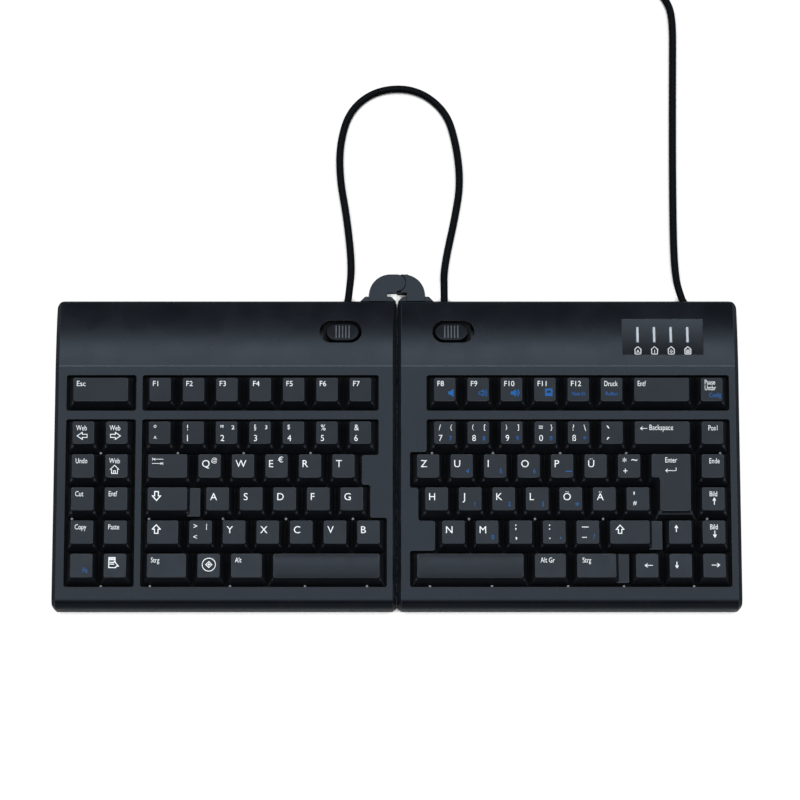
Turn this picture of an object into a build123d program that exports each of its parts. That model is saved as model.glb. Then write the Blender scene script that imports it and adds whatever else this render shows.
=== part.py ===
from build123d import *
import os
from math import copysign, radians, sqrt, tan

# Ergonomic split keyboard. Two flat modules stand side by side and pivot on a tether behind
# their seam. Millimetres: X runs along the rows, Y to the back, Z up. The origin is on the
# table, on the seam, under the middle of the keyboard and its tether.

# Modules
half_width = 195.8
case_depth = 180.3
tether_reach = 15.9
seam_gap = 0.6
foot_height = 1.5
deck_height = 16.0
parting_height = 6.0
case_wall = 2.0
front_edge_radius = 6.4
crease_to_back = 40.1
back_edge_height = 8.0
back_slope_bulge = 1.5
back_edge_chamfer = 0.9
deck_side_chamfer = 2.2
front_corner_radius = 3.0
back_corner_radius = 4.6
seam_corner_radius = 2.2
lip_wall = 0.9
lip_height = 1.2
fit_clearance = 0.15
cut_overrun = 5.0

# Key matrix: one pitch both ways, rows counted from the front
key_pitch = 19.05
key_gap = 0.85
bottom_row_to_front = 22.45
function_row_step = 25.8
left_first_column_x = -144.67
right_first_column_x = 17.78
well_margin = 0.9
well_corner_chamfer = 0.9
skirt_wall = 1.2

# Keycaps
key_travel = 3.5
cap_skirt_height = 13.9
cap_height = 7.4
cap_side_inset = 2.75
cap_front_inset = 4.15
cap_back_inset = 1.05
cap_wall = 1.2
cap_crown = 2.4
dish_depth = 0.45
bar_crown_radius = 24.0
cap_ledge_width = 4.75
cap_ledge_height = 3.4
cap_ledge_inset = 0.8
stem_width = 5.6
stem_clearance = 0.25

# Switch layers under the keys
plate_thickness = 0.8
membrane_thickness = 0.5
dome_sheet_thickness = 0.4
dome_top_height = 8.6
dome_width = 10.0
dome_taper = 28.0
dome_clearance = 0.15
key_frame_thickness = 1.3
key_frame_height = 8.9
key_frame_rim = 1.2

# Circuit boards
board_thickness = 1.6
board_standoff = 1.0
standoff_radius = 1.6
right_board_width = 52.0
right_board_depth = 26.0
left_board_width = 34.0
left_board_depth = 20.0
left_board_x = -119.0
chip_width = 8.0
chip_height = 1.0
lamp_width = 1.8
lamp_height = 0.6

# Indicator window and its light bars
window_x = 152.6
window_from_back = 22.5
window_width = 46.7
window_depth = 22.2
window_thickness = 1.4
window_hollow = 0.35
window_clearance = 0.1
light_count = 4
light_pitch = 9.55
light_width = 2.0
light_length = 9.7
light_shift = 1.55

# Release sliders and their latches
slider_from_seam = 32.4
slider_from_back = 19.3
slot_length = 24.4
slot_width = 13.6
slider_travel = 3.0
slider_clearance = 0.45
slider_sink = 0.5
slider_plate_height = 6.6
slider_plate_thickness = 1.2
slider_plate_margin = 1.4
rib_count = 5
rib_pitch = 2.1
rib_width = 0.7
rib_rise = 0.4
latch_width = 2.6
latch_clearance = 0.3

# Tether between the modules
arm_bottom = 1.9
arm_height = 6.0
arm_reach = 16.2
arm_inner = 5.6
arm_corner_radius = 12.5
web_width = 11.1
knuckle_radius = 4.9
knuckle_gap = 0.15
flange_thickness = 2.8
flange_reach = 5.0
flange_drop = 0.5
tongue_width = 6.0
tongue_length = 15.0
tongue_bottom = 3.6
tongue_height = 2.0
tongue_inset = 0.7
latch_depth_share = 0.75
pin_radius = 1.9
pin_clearance = 0.1
pin_roof = 1.0

# Case screws and feet
boss_radius = 3.2
screw_radius = 1.25
screw_hole_radius = 1.6
screw_head_radius = 2.5
screw_head_height = 1.2
screw_head_sink = 0.3
screw_length = 6.6
boss_side_count = 6
boss_front_inset = 6.5
boss_back_inset = 12.5
boss_side_inset = 6.8
boss_crease_offset = 4.5
foot_length = 24.0
foot_width = 8.0
foot_corner_chamfer = 1.6
foot_recess = 0.5
foot_front_inset = 15.0
foot_back_inset = 26.0
foot_side_inset = 20.0

# Cables
cable_diameter = 4.2
cable_side_count = 6
cable_arc_share = 0.45
bush_radius = 2.6
bush_depth = 5.0

# Put-away length of the long cable, folded into a hank behind the view
hank_loops = 6
hank_half_run = 38.0
hank_inner_fold = 12.6
hank_step = 5.0
hank_layer_rise = 4.8
gap_point_count = 900
tail_straight = 14.0
tail_drop_run = 28.0

# Plug
plug_height = 4.1
relief_length = 8.0
relief_width = 5.4
relief_taper = 7.0
grip_length = 16.0
grip_width = 13.0
grip_thickness = 7.6
grip_edge_chamfer = 1.2
shell_length = 12.0
shell_width = 12.0
shell_thickness = 4.5
shell_wall = 0.35
shell_window = 2.2
shell_window_spacing = 5.2
tongue_plate_thickness = 1.8

# Edges and widths of the keys, as shares of the key pitch: (row, left edge, width)
bottom, lower, home, upper, number, function = range(6)
left_key_shares = {
    "esc_key": [(function, -2.28, 2)],
    "left_function_keys": [(function, column, 1) for column in range(7)],
    "hot_keys": [(row, edge, 1) for row in range(5) for edge in (-2.28, -1.28)],
    "left_number_keys": [(number, column, 1) for column in range(7)],
    "tab_key": [(upper, 0, 1.5)],
    "left_upper_letter_keys": [(upper, column + 1.5, 1) for column in range(5)],
    "caps_lock_key": [(home, 0, 1.75)],
    "left_home_letter_keys": [(home, column + 1.75, 1) for column in range(5)],
    "left_shift_key": [(lower, 0, 1.25)],
    "left_lower_letter_keys": [(lower, column + 1.25, 1) for column in range(6)],
    "left_control_key": [(bottom, 0, 1.5)],
    "system_key": [(bottom, 1.5, 1)],
    "left_alt_key": [(bottom, 2.5, 1.25)],
    "left_space_bar": [(bottom, 3.75, 3.5)],
}
right_key_shares = {
    "right_function_keys": [(function, column, 1) for column in (0, 1, 2, 3, 4, 5, 8)],
    "delete_key": [(function, 6, 2)],
    "right_number_keys": [(number, column, 1) for column in range(6)],
    "backspace_key": [(number, 6, 2)],
    "right_upper_letter_keys": [(upper, column - 0.5, 1) for column in range(7)],
    "enter_key": [(upper, 6.5, 1.5), (home, 6.75, 1.25)],
    "right_home_letter_keys": [(home, column - 0.25, 1) for column in range(7)],
    "right_lower_letter_keys": [(lower, column + 0.25, 1) for column in range(5)],
    "right_shift_key": [(lower, 5.25, 1.75)],
    "navigation_keys": [(row, 8, 1) for row in (number, upper, home, lower)],
    "arrow_keys": [(lower, 7, 1)] + [(bottom, column, 1) for column in (6, 7, 8)],
    "right_space_bar": [(bottom, -0.5, 3.5)],
    "alt_gr_key": [(bottom, 3, 1.25)],
    "right_control_key": [(bottom, 4.25, 1.75)],
}
stepped_keys = ("caps_lock_key", "right_shift_key", "right_control_key")
bar_keys = ("left_space_bar", "right_space_bar")
# Openings in the decks, as shares of the key pitch: (row, left edge, right edge)
left_well_shares = [
    [(function, -2.28, -0.28)],
    [(function, 0, 7)],
    [(row, -2.28, -0.28) for row in range(5)],
    [(bottom, 0, 7.25), (lower, 0, 7.25), (home, 0, 6.75), (upper, 0, 6.5), (number, 0, 7)],
]
right_well_shares = [
    [(function, 0, 9)],
    [(bottom, -0.5, 9), (lower, 0.25, 9), (home, -0.25, 9), (upper, -0.5, 9), (number, 0, 9)],
]
# How far each row's top stands over the skirt, as shares of the cap height, and its tilt
row_height_shares = (1.0, 0.97, 0.96, 1.0, 1.08, 1.08)
row_tilts = (-5.0, -1.0, 2.0, 5.0, 8.0, 8.0)
cap_overrise_share = 0.18
# Routes of the cables' free stretches, chosen by hand
link_route = [
    (-28.3, 83.2, 4.3),
    (-27.3, 91.2, 4.3),
    (-26.4, 102.0, 2.1),
    (-27.2, 116.0, 2.1),
    (-29.6, 136.0, 2.1),
    (-33.3, 157.0, 2.1),
    (-33.4, 178.0, 2.1),
    (-27.5, 198.5, 2.1),
    (-11.5, 210.8, 2.1),
    (11.0, 211.3, 2.1),
    (28.5, 198.0, 2.1),
    (34.6, 177.5, 2.1),
    (37.0, 154.0, 2.1),
    (33.6, 133.0, 2.1),
    (29.2, 113.0, 2.1),
    (27.1, 100.0, 2.1),
    (27.3, 90.6, 4.3),
    (27.3, 83.2, 4.3),
]
usb_route = [
    (165.1, 83.2, 4.3),
    (162.5, 90.4, 4.3),
    (161.2, 100.5, 2.1),
    (160.5, 115.0, 2.1),
    (160.4, 140.0, 2.1),
    (160.7, 178.0, 2.1),
    (161.4, 222.0, 2.1),
    (162.0, 256.0, 2.1),
    (157.4, 267.1, 2.1),
    (148.9, 275.6, 2.1),
    (137.8, 280.2, 2.1),
    (125.8, 280.2, 2.1),
]

# Places that follow from the sizes above
front_y = -(case_depth + tether_reach) / 2
back_y = front_y + case_depth
crease_y = back_y - crease_to_back
floor_height = foot_height + case_wall
pin_y = back_y + tether_reach - knuckle_radius
key_frame_top = key_frame_height + key_frame_thickness
cable_radius = cable_diameter / 2
LEFT, RIGHT = -1, 1
low_end = (Align.CENTER, Align.CENTER, Align.MIN)


def row_y(row):
    """Middle of a key row."""
    y = front_y + bottom_row_to_front + min(row, number) * key_pitch
    return y + function_row_step if row == function else y


def first_column(side):
    return left_first_column_x if side == LEFT else right_first_column_x


def write(name, solids):
    """Save one sub-part as parts/NAME.step."""
    shape = Compound(children=solids) if isinstance(solids, list) else solids
    export_step(shape, f"parts/{name}.step")


def back_slope():
    """The arc down which the deck falls to the back, seen from the side."""
    return SagittaArc((crease_y, deck_height), (back_y, back_edge_height), back_slope_bulge)


def side_face(inset):
    """A module's outline seen from the side, drawn in from its skin."""
    deck = Line((front_y + front_edge_radius, deck_height), (crease_y, deck_height))
    slope = back_slope()
    back = Line(slope @ 1, (back_y, foot_height))
    base = Line(back @ 1, (front_y, foot_height))
    front = Line(base @ 1, (front_y, deck_height - front_edge_radius))
    nose = TangentArc(front @ 1, deck @ 0, tangent=(0, 1))
    face = make_face([deck, slope, back, base, front, nose])
    face = chamfer(face.vertices().sort_by_distance((back_y, back_edge_height))[0], back_edge_chamfer)
    return offset(face, amount=-inset, kind=Kind.INTERSECTION) if inset else face


def plan_face(side, inset):
    """A module's outline seen from above, drawn in from its skin."""
    width = half_width - seam_gap / 2
    middle = Vector(side * (half_width + seam_gap / 2) / 2, (front_y + back_y) / 2)
    face = Pos(middle.X, middle.Y) * Rectangle(width, case_depth)
    corners = (
        (side * half_width, front_y, front_corner_radius),
        (side * half_width, back_y, back_corner_radius),
        (side * seam_gap / 2, front_y, seam_corner_radius),
        (side * seam_gap / 2, back_y, seam_corner_radius),
    )
    for x, y, radius in corners:
        face = fillet(face.vertices().sort_by_distance((x, y))[0], radius)
    return offset(face, amount=-inset, kind=Kind.INTERSECTION) if inset else face


def module_block(side, inset):
    """The whole block of a module with its deck's rims bevelled, or its cavity when drawn in."""
    seam = Plane.YZ.offset(side * seam_gap / 2)
    prism = extrude(seam * side_face(inset), amount=side * (half_width - seam_gap / 2))
    if not inset:
        outlines = [edge for face in prism.faces().filter_by(Axis.X) for edge in face.edges()]
        rims = [edge for edge in outlines if edge.bounding_box().max.Z > deck_height - fit_clearance]
        prism = chamfer(rims, deck_side_chamfer)
    return prism & extrude(plan_face(side, inset), amount=deck_height)


def slab(side, inset, low, high):
    """A flat layer with a module's outline."""
    return Pos(0, 0, low) * extrude(plan_face(side, inset), amount=high - low)


def well_face(side, shares, grow=0):
    """One deck opening with cut corners, or the square outline of the skirt that grows from it."""
    margin = well_margin + grow
    face = Sketch()
    for row, start, end in shares:
        width = (end - start) * key_pitch + 2 * margin
        middle = first_column(side) + (start + end) / 2 * key_pitch
        face += Pos(middle, row_y(row)) * Rectangle(width, key_pitch + 2 * margin)
    return face if grow else chamfer(face.vertices(), well_corner_chamfer)


def well_shares(side):
    return left_well_shares if side == LEFT else right_well_shares


def key_shares(side):
    return left_key_shares if side == LEFT else right_key_shares


def key_middles(side):
    """Where each key's stem stands."""
    places = []
    for name, keys in key_shares(side).items():
        for row, start, width in keys if name != "enter_key" else keys[1:]:
            places.append((first_column(side) + (start + width / 2) * key_pitch, row_y(row)))
    return places


def screw_places(side):
    """Middles of the case screws of a module: two at the front, two behind the keys."""
    near, far = side * boss_side_inset, side * (half_width - boss_side_inset)
    front, behind = front_y + boss_front_inset, crease_y + boss_crease_offset
    return [(near, front), (far, front), (near, behind), (far, back_y - boss_back_inset)]


def boss_post(radius, height):
    """A short many-sided post or hole for a screw, standing on the XY plane."""
    return extrude(RegularPolygon(radius, boss_side_count), amount=height)


def foot_places(side):
    xs = (foot_side_inset, half_width - foot_side_inset)
    ys = (front_y + foot_front_inset, back_y - foot_back_inset)
    return [(side * x, y) for x in xs for y in ys]


def window_y():
    return back_y - window_from_back


def light_xs():
    return [window_x + (n - (light_count - 1) / 2) * light_pitch for n in range(light_count)]


def light_face(grow):
    """The light bars seen from above."""
    bar = Rectangle(light_width + 2 * grow, light_length + 2 * grow)
    face = Sketch()
    for x in light_xs():
        face += Pos(x, window_y() + light_shift) * bar
    return face


def board_place(side):
    """Middle, width and depth of a circuit board."""
    if side == RIGHT:
        return window_x, window_y(), right_board_width, right_board_depth
    return left_board_x, window_y(), left_board_width, left_board_depth


def standoff_places(side):
    x, y, width, depth = board_place(side)
    reach_x, reach_y = width / 2 - 2 * standoff_radius, depth / 2 - 2 * standoff_radius
    return [(x + i * reach_x, y + j * reach_y) for i in (-1, 1) for j in (-1, 1)]


def exit_places(side):
    """Start and direction of each cable that leaves a module."""
    ends = [(link_route[0], link_route[1])]
    if side == RIGHT:
        ends = [(link_route[-1], link_route[-2]), (usb_route[0], usb_route[1])]
    return [(Vector(*start), (Vector(*after) - Vector(*start)).normalized()) for start, after in ends]


def exit_bore(start, outward, radius, inner, outer=0):
    """A prism along a cable's exit, from inside its module to where the free stretch begins."""
    frame = Plane(origin=start - outward * inner, x_dir=(0, 0, 1), z_dir=outward)
    return extrude(frame * RegularPolygon(radius, cable_side_count), amount=inner + outer)


def tongue_x(side):
    """Middle of the tether tongue inside a module."""
    return side * (arm_reach - tongue_inset - tongue_width / 2)


def tongue_box(side, grow=0):
    """The tether tongue, from the back wall inwards."""
    width, height = tongue_width + 2 * grow, tongue_height + 2 * grow
    depth = tongue_length + grow + cut_overrun * bool(grow)
    y = back_y - tongue_length - grow + depth / 2
    return Pos(tongue_x(side), y, tongue_bottom + tongue_height / 2) * Box(width, depth, height)


def latch_place(side):
    """Middle of the latch pin, on the outer side of the tongue."""
    x = tongue_x(side) + side * (tongue_width - latch_width) / 2
    return x, back_y - tongue_length * latch_depth_share


def top_case(side):
    """Deck and walls above the parting line, with wells, slot, window and bosses."""
    cavity = module_block(side, case_wall)
    shell = module_block(side, 0) - cavity
    for shares in well_shares(side):
        opening = well_face(side, shares)
        skirt = extrude(well_face(side, shares, skirt_wall), amount=deck_height - case_wall)
        shell += (skirt - slab(side, case_wall, 0, key_frame_top)) & cavity
        shell -= extrude(opening, amount=deck_height + cut_overrun)
    for x, y in screw_places(side):
        shell += Pos(x, y) * boss_post(boss_radius, deck_height) & cavity
        shell -= Pos(x, y) * boss_post(screw_radius + fit_clearance, pilot_top())
    slot = Pos(side * slider_from_seam, slider_y()) * SlotOverall(slot_length, slot_width)
    shell -= extrude(slot, amount=deck_height)
    if side == RIGHT:
        window = Pos(window_x, window_y()) * Rectangle(window_width, window_depth)
        shell -= extrude(window, amount=deck_height)
    for start, outward in exit_places(side):
        shell -= exit_bore(start, outward, bush_radius, bush_depth + cut_overrun, cut_overrun)
    return shell - slab(side, -cut_overrun, 0, parting_height)


def pilot_top():
    return foot_height + screw_head_sink + screw_head_height + screw_length + fit_clearance


def slider_y():
    return back_y - slider_from_back


def bottom_case(side):
    """Floor and walls below the parting line, with a lip, bosses, recesses and slots."""
    shell = module_block(side, 0) - slab(side, -cut_overrun, parting_height, deck_height * 2)
    shell -= slab(side, case_wall, floor_height, deck_height)
    lip = module_block(side, case_wall + fit_clearance) - slab(side, 0, 0, floor_height)
    lip -= slab(side, 0, parting_height + lip_height, 2 * deck_height)
    shell += lip - slab(side, case_wall + fit_clearance + lip_wall, 0, deck_height)
    for x, y in screw_places(side):
        shell += Pos(x, y, foot_height) * boss_post(boss_radius, parting_height - foot_height)
        shell -= Pos(x, y) * boss_post(screw_hole_radius, deck_height)
        sink = foot_height + screw_head_sink + screw_head_height
        shell -= Pos(x, y) * boss_post(screw_head_radius + fit_clearance, sink)
    for x, y in foot_places(side):
        shell -= extrude(foot_face(x, y, fit_clearance), amount=foot_height + foot_recess)
    for x, y in standoff_places(side):
        shell += Pos(x, y, floor_height) * boss_post(standoff_radius, board_standoff)
    for start, outward in exit_places(side):
        shell -= exit_bore(start, outward, bush_radius, bush_depth + cut_overrun, cut_overrun)
    return shell - tongue_box(side, latch_clearance)


def foot_face(x, y, grow):
    pad = Rectangle(foot_length + 2 * grow, foot_width + 2 * grow)
    return Pos(x, y) * chamfer(pad.vertices(), foot_corner_chamfer)


def feet(side):
    """Rubber pads set into the floor."""
    return [extrude(foot_face(x, y, 0), amount=foot_height + foot_recess) for x, y in foot_places(side)]


def case_screws(side):
    """Flat-headed screws from below into the top case's bosses."""
    low = foot_height + screw_head_sink
    screws = []
    for x, y in screw_places(side):
        head = boss_post(screw_head_radius, screw_head_height)
        shank = boss_post(screw_radius, screw_head_height + screw_length)
        screws.append(Pos(x, y, low) * (head + shank))
    return screws


def layer_face(side, margin):
    """Outline of the layers under a module's keys."""
    wells = Sketch()
    for shares in well_shares(side):
        wells += well_face(side, shares)
    box = wells.bounding_box()
    middle = box.center()
    return Pos(middle.X, middle.Y) * Rectangle(box.size.X + 2 * margin, box.size.Y + 2 * margin)


def layer_levels():
    """Bottoms of the backing plate, the membrane and the dome sheet, and the sheet's top."""
    plate = floor_height
    membrane = plate + plate_thickness
    sheet = membrane + membrane_thickness
    return plate, membrane, sheet, sheet + dome_sheet_thickness


def backing_plate(side):
    return Pos(0, 0, layer_levels()[0]) * extrude(layer_face(side, skirt_wall), amount=plate_thickness)


def switch_membrane(side):
    return Pos(0, 0, layer_levels()[1]) * extrude(layer_face(side, skirt_wall), amount=membrane_thickness)


def dome_sheet(side):
    """Rubber sheet with a dome under each key."""
    level = layer_levels()[2]
    sheet = Pos(0, 0, level) * extrude(layer_face(side, skirt_wall), amount=dome_sheet_thickness)
    base = layer_levels()[3]
    rise = dome_top_height - base
    dome = Pos(0, 0, base) * extrude(Rectangle(dome_width, dome_width), amount=rise, taper=dome_taper)
    return sheet + [Pos(x, y) * dome for x, y in key_middles(side)]


def key_frame(side):
    """Plate that guides the stems, standing on its rim on the dome sheet."""
    level = layer_levels()[3]
    plate = extrude(layer_face(side, skirt_wall), amount=key_frame_top - level)
    hollow = extrude(layer_face(side, skirt_wall - key_frame_rim), amount=key_frame_height - level)
    frame = Pos(0, 0, level) * (plate - hollow)
    hole = Box(stem_width + 2 * stem_clearance, stem_width + 2 * stem_clearance, deck_height * 2)
    return frame - [Pos(x, y) * hole for x, y in key_middles(side)]


def circuit_board(side):
    """Board on its standoffs, with a controller and, at the right, the lamps."""
    x, y, width, depth = board_place(side)
    level = floor_height + board_standoff
    board = Pos(x, y, level) * Box(width, depth, board_thickness, align=low_end)
    chip_x = x if side == LEFT else x - width / 2 + chip_width
    chip_y = y - depth / 2 + chip_width / 2 + fit_clearance
    chip = Box(chip_width, chip_width, board_thickness + chip_height, align=low_end)
    board += Pos(chip_x, chip_y, level) * chip
    if side == RIGHT:
        lamp = Box(lamp_width, lamp_width, board_thickness + lamp_height, align=low_end)
        board += [Pos(lamp_x, y + light_shift, level) * lamp for lamp_x in light_xs()]
    return board


def slope_height(y):
    """Height of the deck behind its crease."""
    arc = back_slope()
    return arc.arc_center.Y + sqrt(arc.radius**2 - (y - arc.arc_center.X) ** 2)


def window_block(low):
    """Block in the window's opening, from a level up to the cover's slightly hollow face."""
    width, depth = window_width - 2 * window_clearance, window_depth - 2 * window_clearance
    front, back = window_y() - depth / 2, window_y() + depth / 2
    face = SagittaArc((front, slope_height(front)), (back, slope_height(back)), -window_hollow)
    sides = Polyline(face @ 1, (back, low), (front, low), face @ 0)
    end = Plane.YZ.offset(window_x - width / 2) * make_face([face, sides])
    return extrude(end, amount=width)


def indicator_window():
    """Clear cover let into the sloping deck, with slots for the light bars."""
    cover = window_block(parting_height)
    cover -= Pos(0, 0, -window_thickness) * window_block(0)
    return cover - extrude(light_face(window_clearance / 2), amount=deck_height)


def light_bars():
    """Clear bars that carry the lamps' light up to the cover's face."""
    low = floor_height + board_standoff + board_thickness + lamp_height + fit_clearance
    return extrude(light_face(0), amount=deck_height) & window_block(low)


def release_slider(side):
    """Sliding knob with grip ribs, on a plate under the deck that carries the latch pin."""
    travel_side = side * slider_travel / 2
    x, y = side * slider_from_seam - travel_side, slider_y()
    length = slot_length - slider_travel - 2 * slider_clearance
    width = slot_width - 2 * slider_clearance
    low = module_block(side, slider_sink)
    knob = extrude(Pos(x, y) * SlotOverall(length, width), amount=deck_height) & low
    rib = Box(rib_width, width - slider_travel, deck_height * 2)
    ribs = [Pos(x + (n - (rib_count - 1) / 2) * rib_pitch, y) * rib for n in range(rib_count)]
    knob += (Part() + ribs) & module_block(side, slider_sink - rib_rise)
    knob -= slab(side, -cut_overrun, 0, slider_plate_height)
    plate_length, plate_width = length + 2 * slider_plate_margin, width + 2 * slider_plate_margin
    plate = Box(plate_length, plate_width, slider_plate_thickness, align=low_end)
    latch_x, latch_y = latch_place(side)
    reach = abs(x - latch_x) + latch_width / 2
    arm = Box(reach, latch_width, slider_plate_thickness, align=low_end)
    arm_x = (x + latch_x - side * latch_width / 2) / 2
    low_tip = floor_height + latch_clearance
    rise = slider_plate_height - low_tip + slider_plate_thickness
    pin = Pos(latch_x, latch_y, low_tip) * Box(latch_width, latch_width, rise, align=low_end)
    knob += Pos(x, y, slider_plate_height) * plate
    return knob + Pos(arm_x, latch_y, slider_plate_height) * arm + pin


def tether_arm(side):
    """Half of the pivot: a flange on the back wall, a tongue inside, a knuckle on the pin."""
    plan = Pos(side * arm_reach / 2, back_y + tether_reach / 2) * Rectangle(arm_reach, tether_reach)
    corner = plan.vertices().sort_by_distance((side * arm_reach, back_y + tether_reach))[0]
    block = extrude(fillet(corner, arm_corner_radius), amount=arm_height)
    root = block - Pos(side * arm_inner / 2, pin_y) * Box(arm_inner, 2 * tether_reach, 2 * arm_height)
    half = (arm_height - knuckle_gap) / 2
    level = half + knuckle_gap if side == LEFT else 0
    web_y = back_y + tether_reach - web_width / 2
    web = Pos(side * arm_inner, web_y, level) * Box(2 * arm_inner, web_width, half, align=low_end) & block
    knuckle = Pos(0, pin_y, level) * Cylinder(knuckle_radius, half, align=low_end)
    arm = root + web + knuckle + tether_flange(side)
    arm = Pos(0, 0, arm_bottom) * arm + tongue_box(side)
    latch_x, latch_y = latch_place(side)
    notch = latch_width + 2 * latch_clearance
    arm -= Pos(latch_x, latch_y) * Box(notch, notch, deck_height)
    bore = Cylinder(pin_radius + pin_clearance, pin_top() + pin_clearance, align=low_end)
    return arm - Pos(0, pin_y) * bore


def tether_flange(side):
    """Foot of an arm against its module's back wall, slanted at both ends."""
    ends = (seam_gap, arm_reach + flange_reach)
    flange = Polygon(
        (side * ends[0], back_y),
        (side * (ends[0] + flange_thickness), back_y + flange_thickness),
        (side * (ends[1] - flange_thickness), back_y + flange_thickness),
        (side * ends[1], back_y),
        align=None,
    )
    return extrude(flange, amount=arm_height - flange_drop, dir=(0, 0, 1))


def pin_top():
    return arm_bottom + arm_height - pin_roof


def tether_pin():
    """Pivot pin, pressed up from below."""
    return Pos(0, pin_y, arm_bottom) * Cylinder(pin_radius, pin_top() - arm_bottom, align=low_end)


def cable_bush(start, outward):
    """Rubber bush moulded on a cable where it leaves its module."""
    return exit_bore(start, outward, bush_radius - fit_clearance, bush_depth)


def taper(width, depth, height):
    """Flat-sided taper that leans back, standing on the XY plane."""
    rise = height / cap_height
    side, front, back = (rise * inset for inset in (cap_side_inset, cap_front_inset, cap_back_inset))
    across = Polygon(
        (-width / 2, 0), (width / 2, 0), (width / 2 - side, height), (side - width / 2, height), align=None
    )
    along = Polygon(
        (-depth / 2, 0), (depth / 2, 0), (depth / 2 - back, height), (front - depth / 2, height), align=None
    )
    lengthwise = extrude(Plane.XZ * across, amount=depth, both=True)
    return lengthwise & extrude(Plane.YZ * along, amount=width, both=True)


def cap_pocket(width, depth, height):
    """Hollow under a cap."""
    return taper(width - 2 * cap_wall, depth - 2 * cap_wall, height)


def finger_dish(width, row):
    """Cylinder that hollows a cap's top across its width and gives it its row's tilt."""
    half = width / 2 - cap_side_inset
    radius = (half**2 + dish_depth**2) / (2 * dish_depth)
    height = cap_height * row_height_shares[row] - dish_depth
    middle = Pos(0, (cap_front_inset - cap_back_inset) / 2, height)
    return middle * Rot(90 + row_tilts[row], 0, 0) * Pos(0, radius, 0) * Cylinder(radius, key_pitch * 4)


def cap_blank(width, depth, row):
    return taper(width, depth, cap_height * (row_height_shares[row] + cap_overrise_share))


def keycap(name, row, width_share):
    """One cap on its stem, with its middle over the origin and its skirt on the XY plane."""
    width, depth = width_share * key_pitch - key_gap, key_pitch - key_gap
    crown = cap_height * row_height_shares[row] - cap_crown
    raised = width - cap_ledge_width * (name in stepped_keys)
    shift = Pos((raised - width) / 2, 0, 0)
    cap = cap_blank(raised, depth, row)
    if name in bar_keys:
        barrel = Cylinder(bar_crown_radius, 2 * width, rotation=(0, 90, 0))
        cap &= Pos(0, (cap_front_inset - cap_back_inset) / 2, cap_height - bar_crown_radius) * barrel
    else:
        cap -= finger_dish(raised, row)
    cap = shift * (cap - cap_pocket(raised, depth, crown))
    if name in stepped_keys:
        ledge = cap_ledge_width + cap_side_inset
        low = Box(ledge, depth - 2 * cap_ledge_inset, cap_ledge_height, align=low_end)
        cap += Pos((width - ledge) / 2, 0, 0) * low - shift * cap_blank(raised, depth, row)
    return cap + stem(crown)


def stem(crown):
    """Square post from a cap's crown down to its dome."""
    low = dome_top_height + dome_clearance - cap_skirt_height
    return Pos(0, 0, low) * Box(stem_width, stem_width, crown - low, align=low_end)


def enter_cap():
    """Enter key: a tall cap joined with a wider one in the upper of its two rows."""
    (_, wide_start, wide_share), (row, tall_start, tall_share) = right_key_shares["enter_key"]
    wide, tall = wide_share * key_pitch - key_gap, tall_share * key_pitch - key_gap
    depth = key_pitch - key_gap
    crown = cap_height * row_height_shares[row] - cap_crown
    across = (wide_start + wide_share / 2 - tall_start - tall_share / 2) * key_pitch
    over_wide, over_tall = Pos(across, key_pitch, 0), Pos(0, key_pitch / 2, 0)
    cap = over_wide * cap_blank(wide, depth, row) + over_tall * cap_blank(tall, depth + key_pitch, row)
    cap -= Pos(0, key_pitch / 2, 0) * finger_dish(wide, row)
    cap -= over_wide * cap_pocket(wide, depth, crown)
    cap -= over_tall * cap_pocket(tall, depth + key_pitch, crown)
    return cap + stem(crown)


def keys(side, name):
    """All caps of one node, in their places."""
    if name == "enter_key":
        row, start, width = right_key_shares[name][1]
        place = Pos(first_column(side) + (start + width / 2) * key_pitch, row_y(row), cap_skirt_height)
        return [place * enter_cap()]
    caps = []
    for row, start, width in key_shares(side)[name]:
        place = Pos(first_column(side) + (start + width / 2) * key_pitch, row_y(row), cap_skirt_height)
        caps.append(place * keycap(name, row, width))
    return caps


def level_plane(path):
    """Plane across a path's start, its X axis level."""
    heading = path % 0
    return Plane(origin=path @ 0, x_dir=(-heading.Y, heading.X, 0), z_dir=heading)


def cable_tube(name, route, side_count):
    """Tube along straight runs joined by tangent arcs, each as large as its runs allow."""
    points = [Vector(*place) for place in route]
    runs = [after - before for before, after in zip(points, points[1:])]
    radii = []
    for one, two in zip(runs, runs[1:]):
        turn = radians(one.get_angle(two))
        radii.append(cable_arc_share * min(one.length, two.length) / tan(turn / 2))
    path = FilletPolyline(*points, radius=radii)
    section = level_plane(path) * RegularPolygon(cable_radius, side_count)
    tube = sweep(section, path)
    print(name, "radii", [round(radius, 1) for radius in radii])
    print_sizes(name, path, section, tube)
    return tube


def print_sizes(name, path, section, tube):
    """Length of a cable, and its volume beside that of its section along its length."""
    print(name, "length", round(path.length, 1))
    print(name, "volume", round(tube.volume, 1), "of", round(section.area * path.length, 1))


def s_bend(start, end, heading):
    """Two equal arcs that leave and arrive along the same heading."""
    first = TangentArc(start, (start + end) / 2, tangent=(heading, 0, 0))
    return [first, TangentArc(first @ 1, end, tangent=first % 1)]


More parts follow.
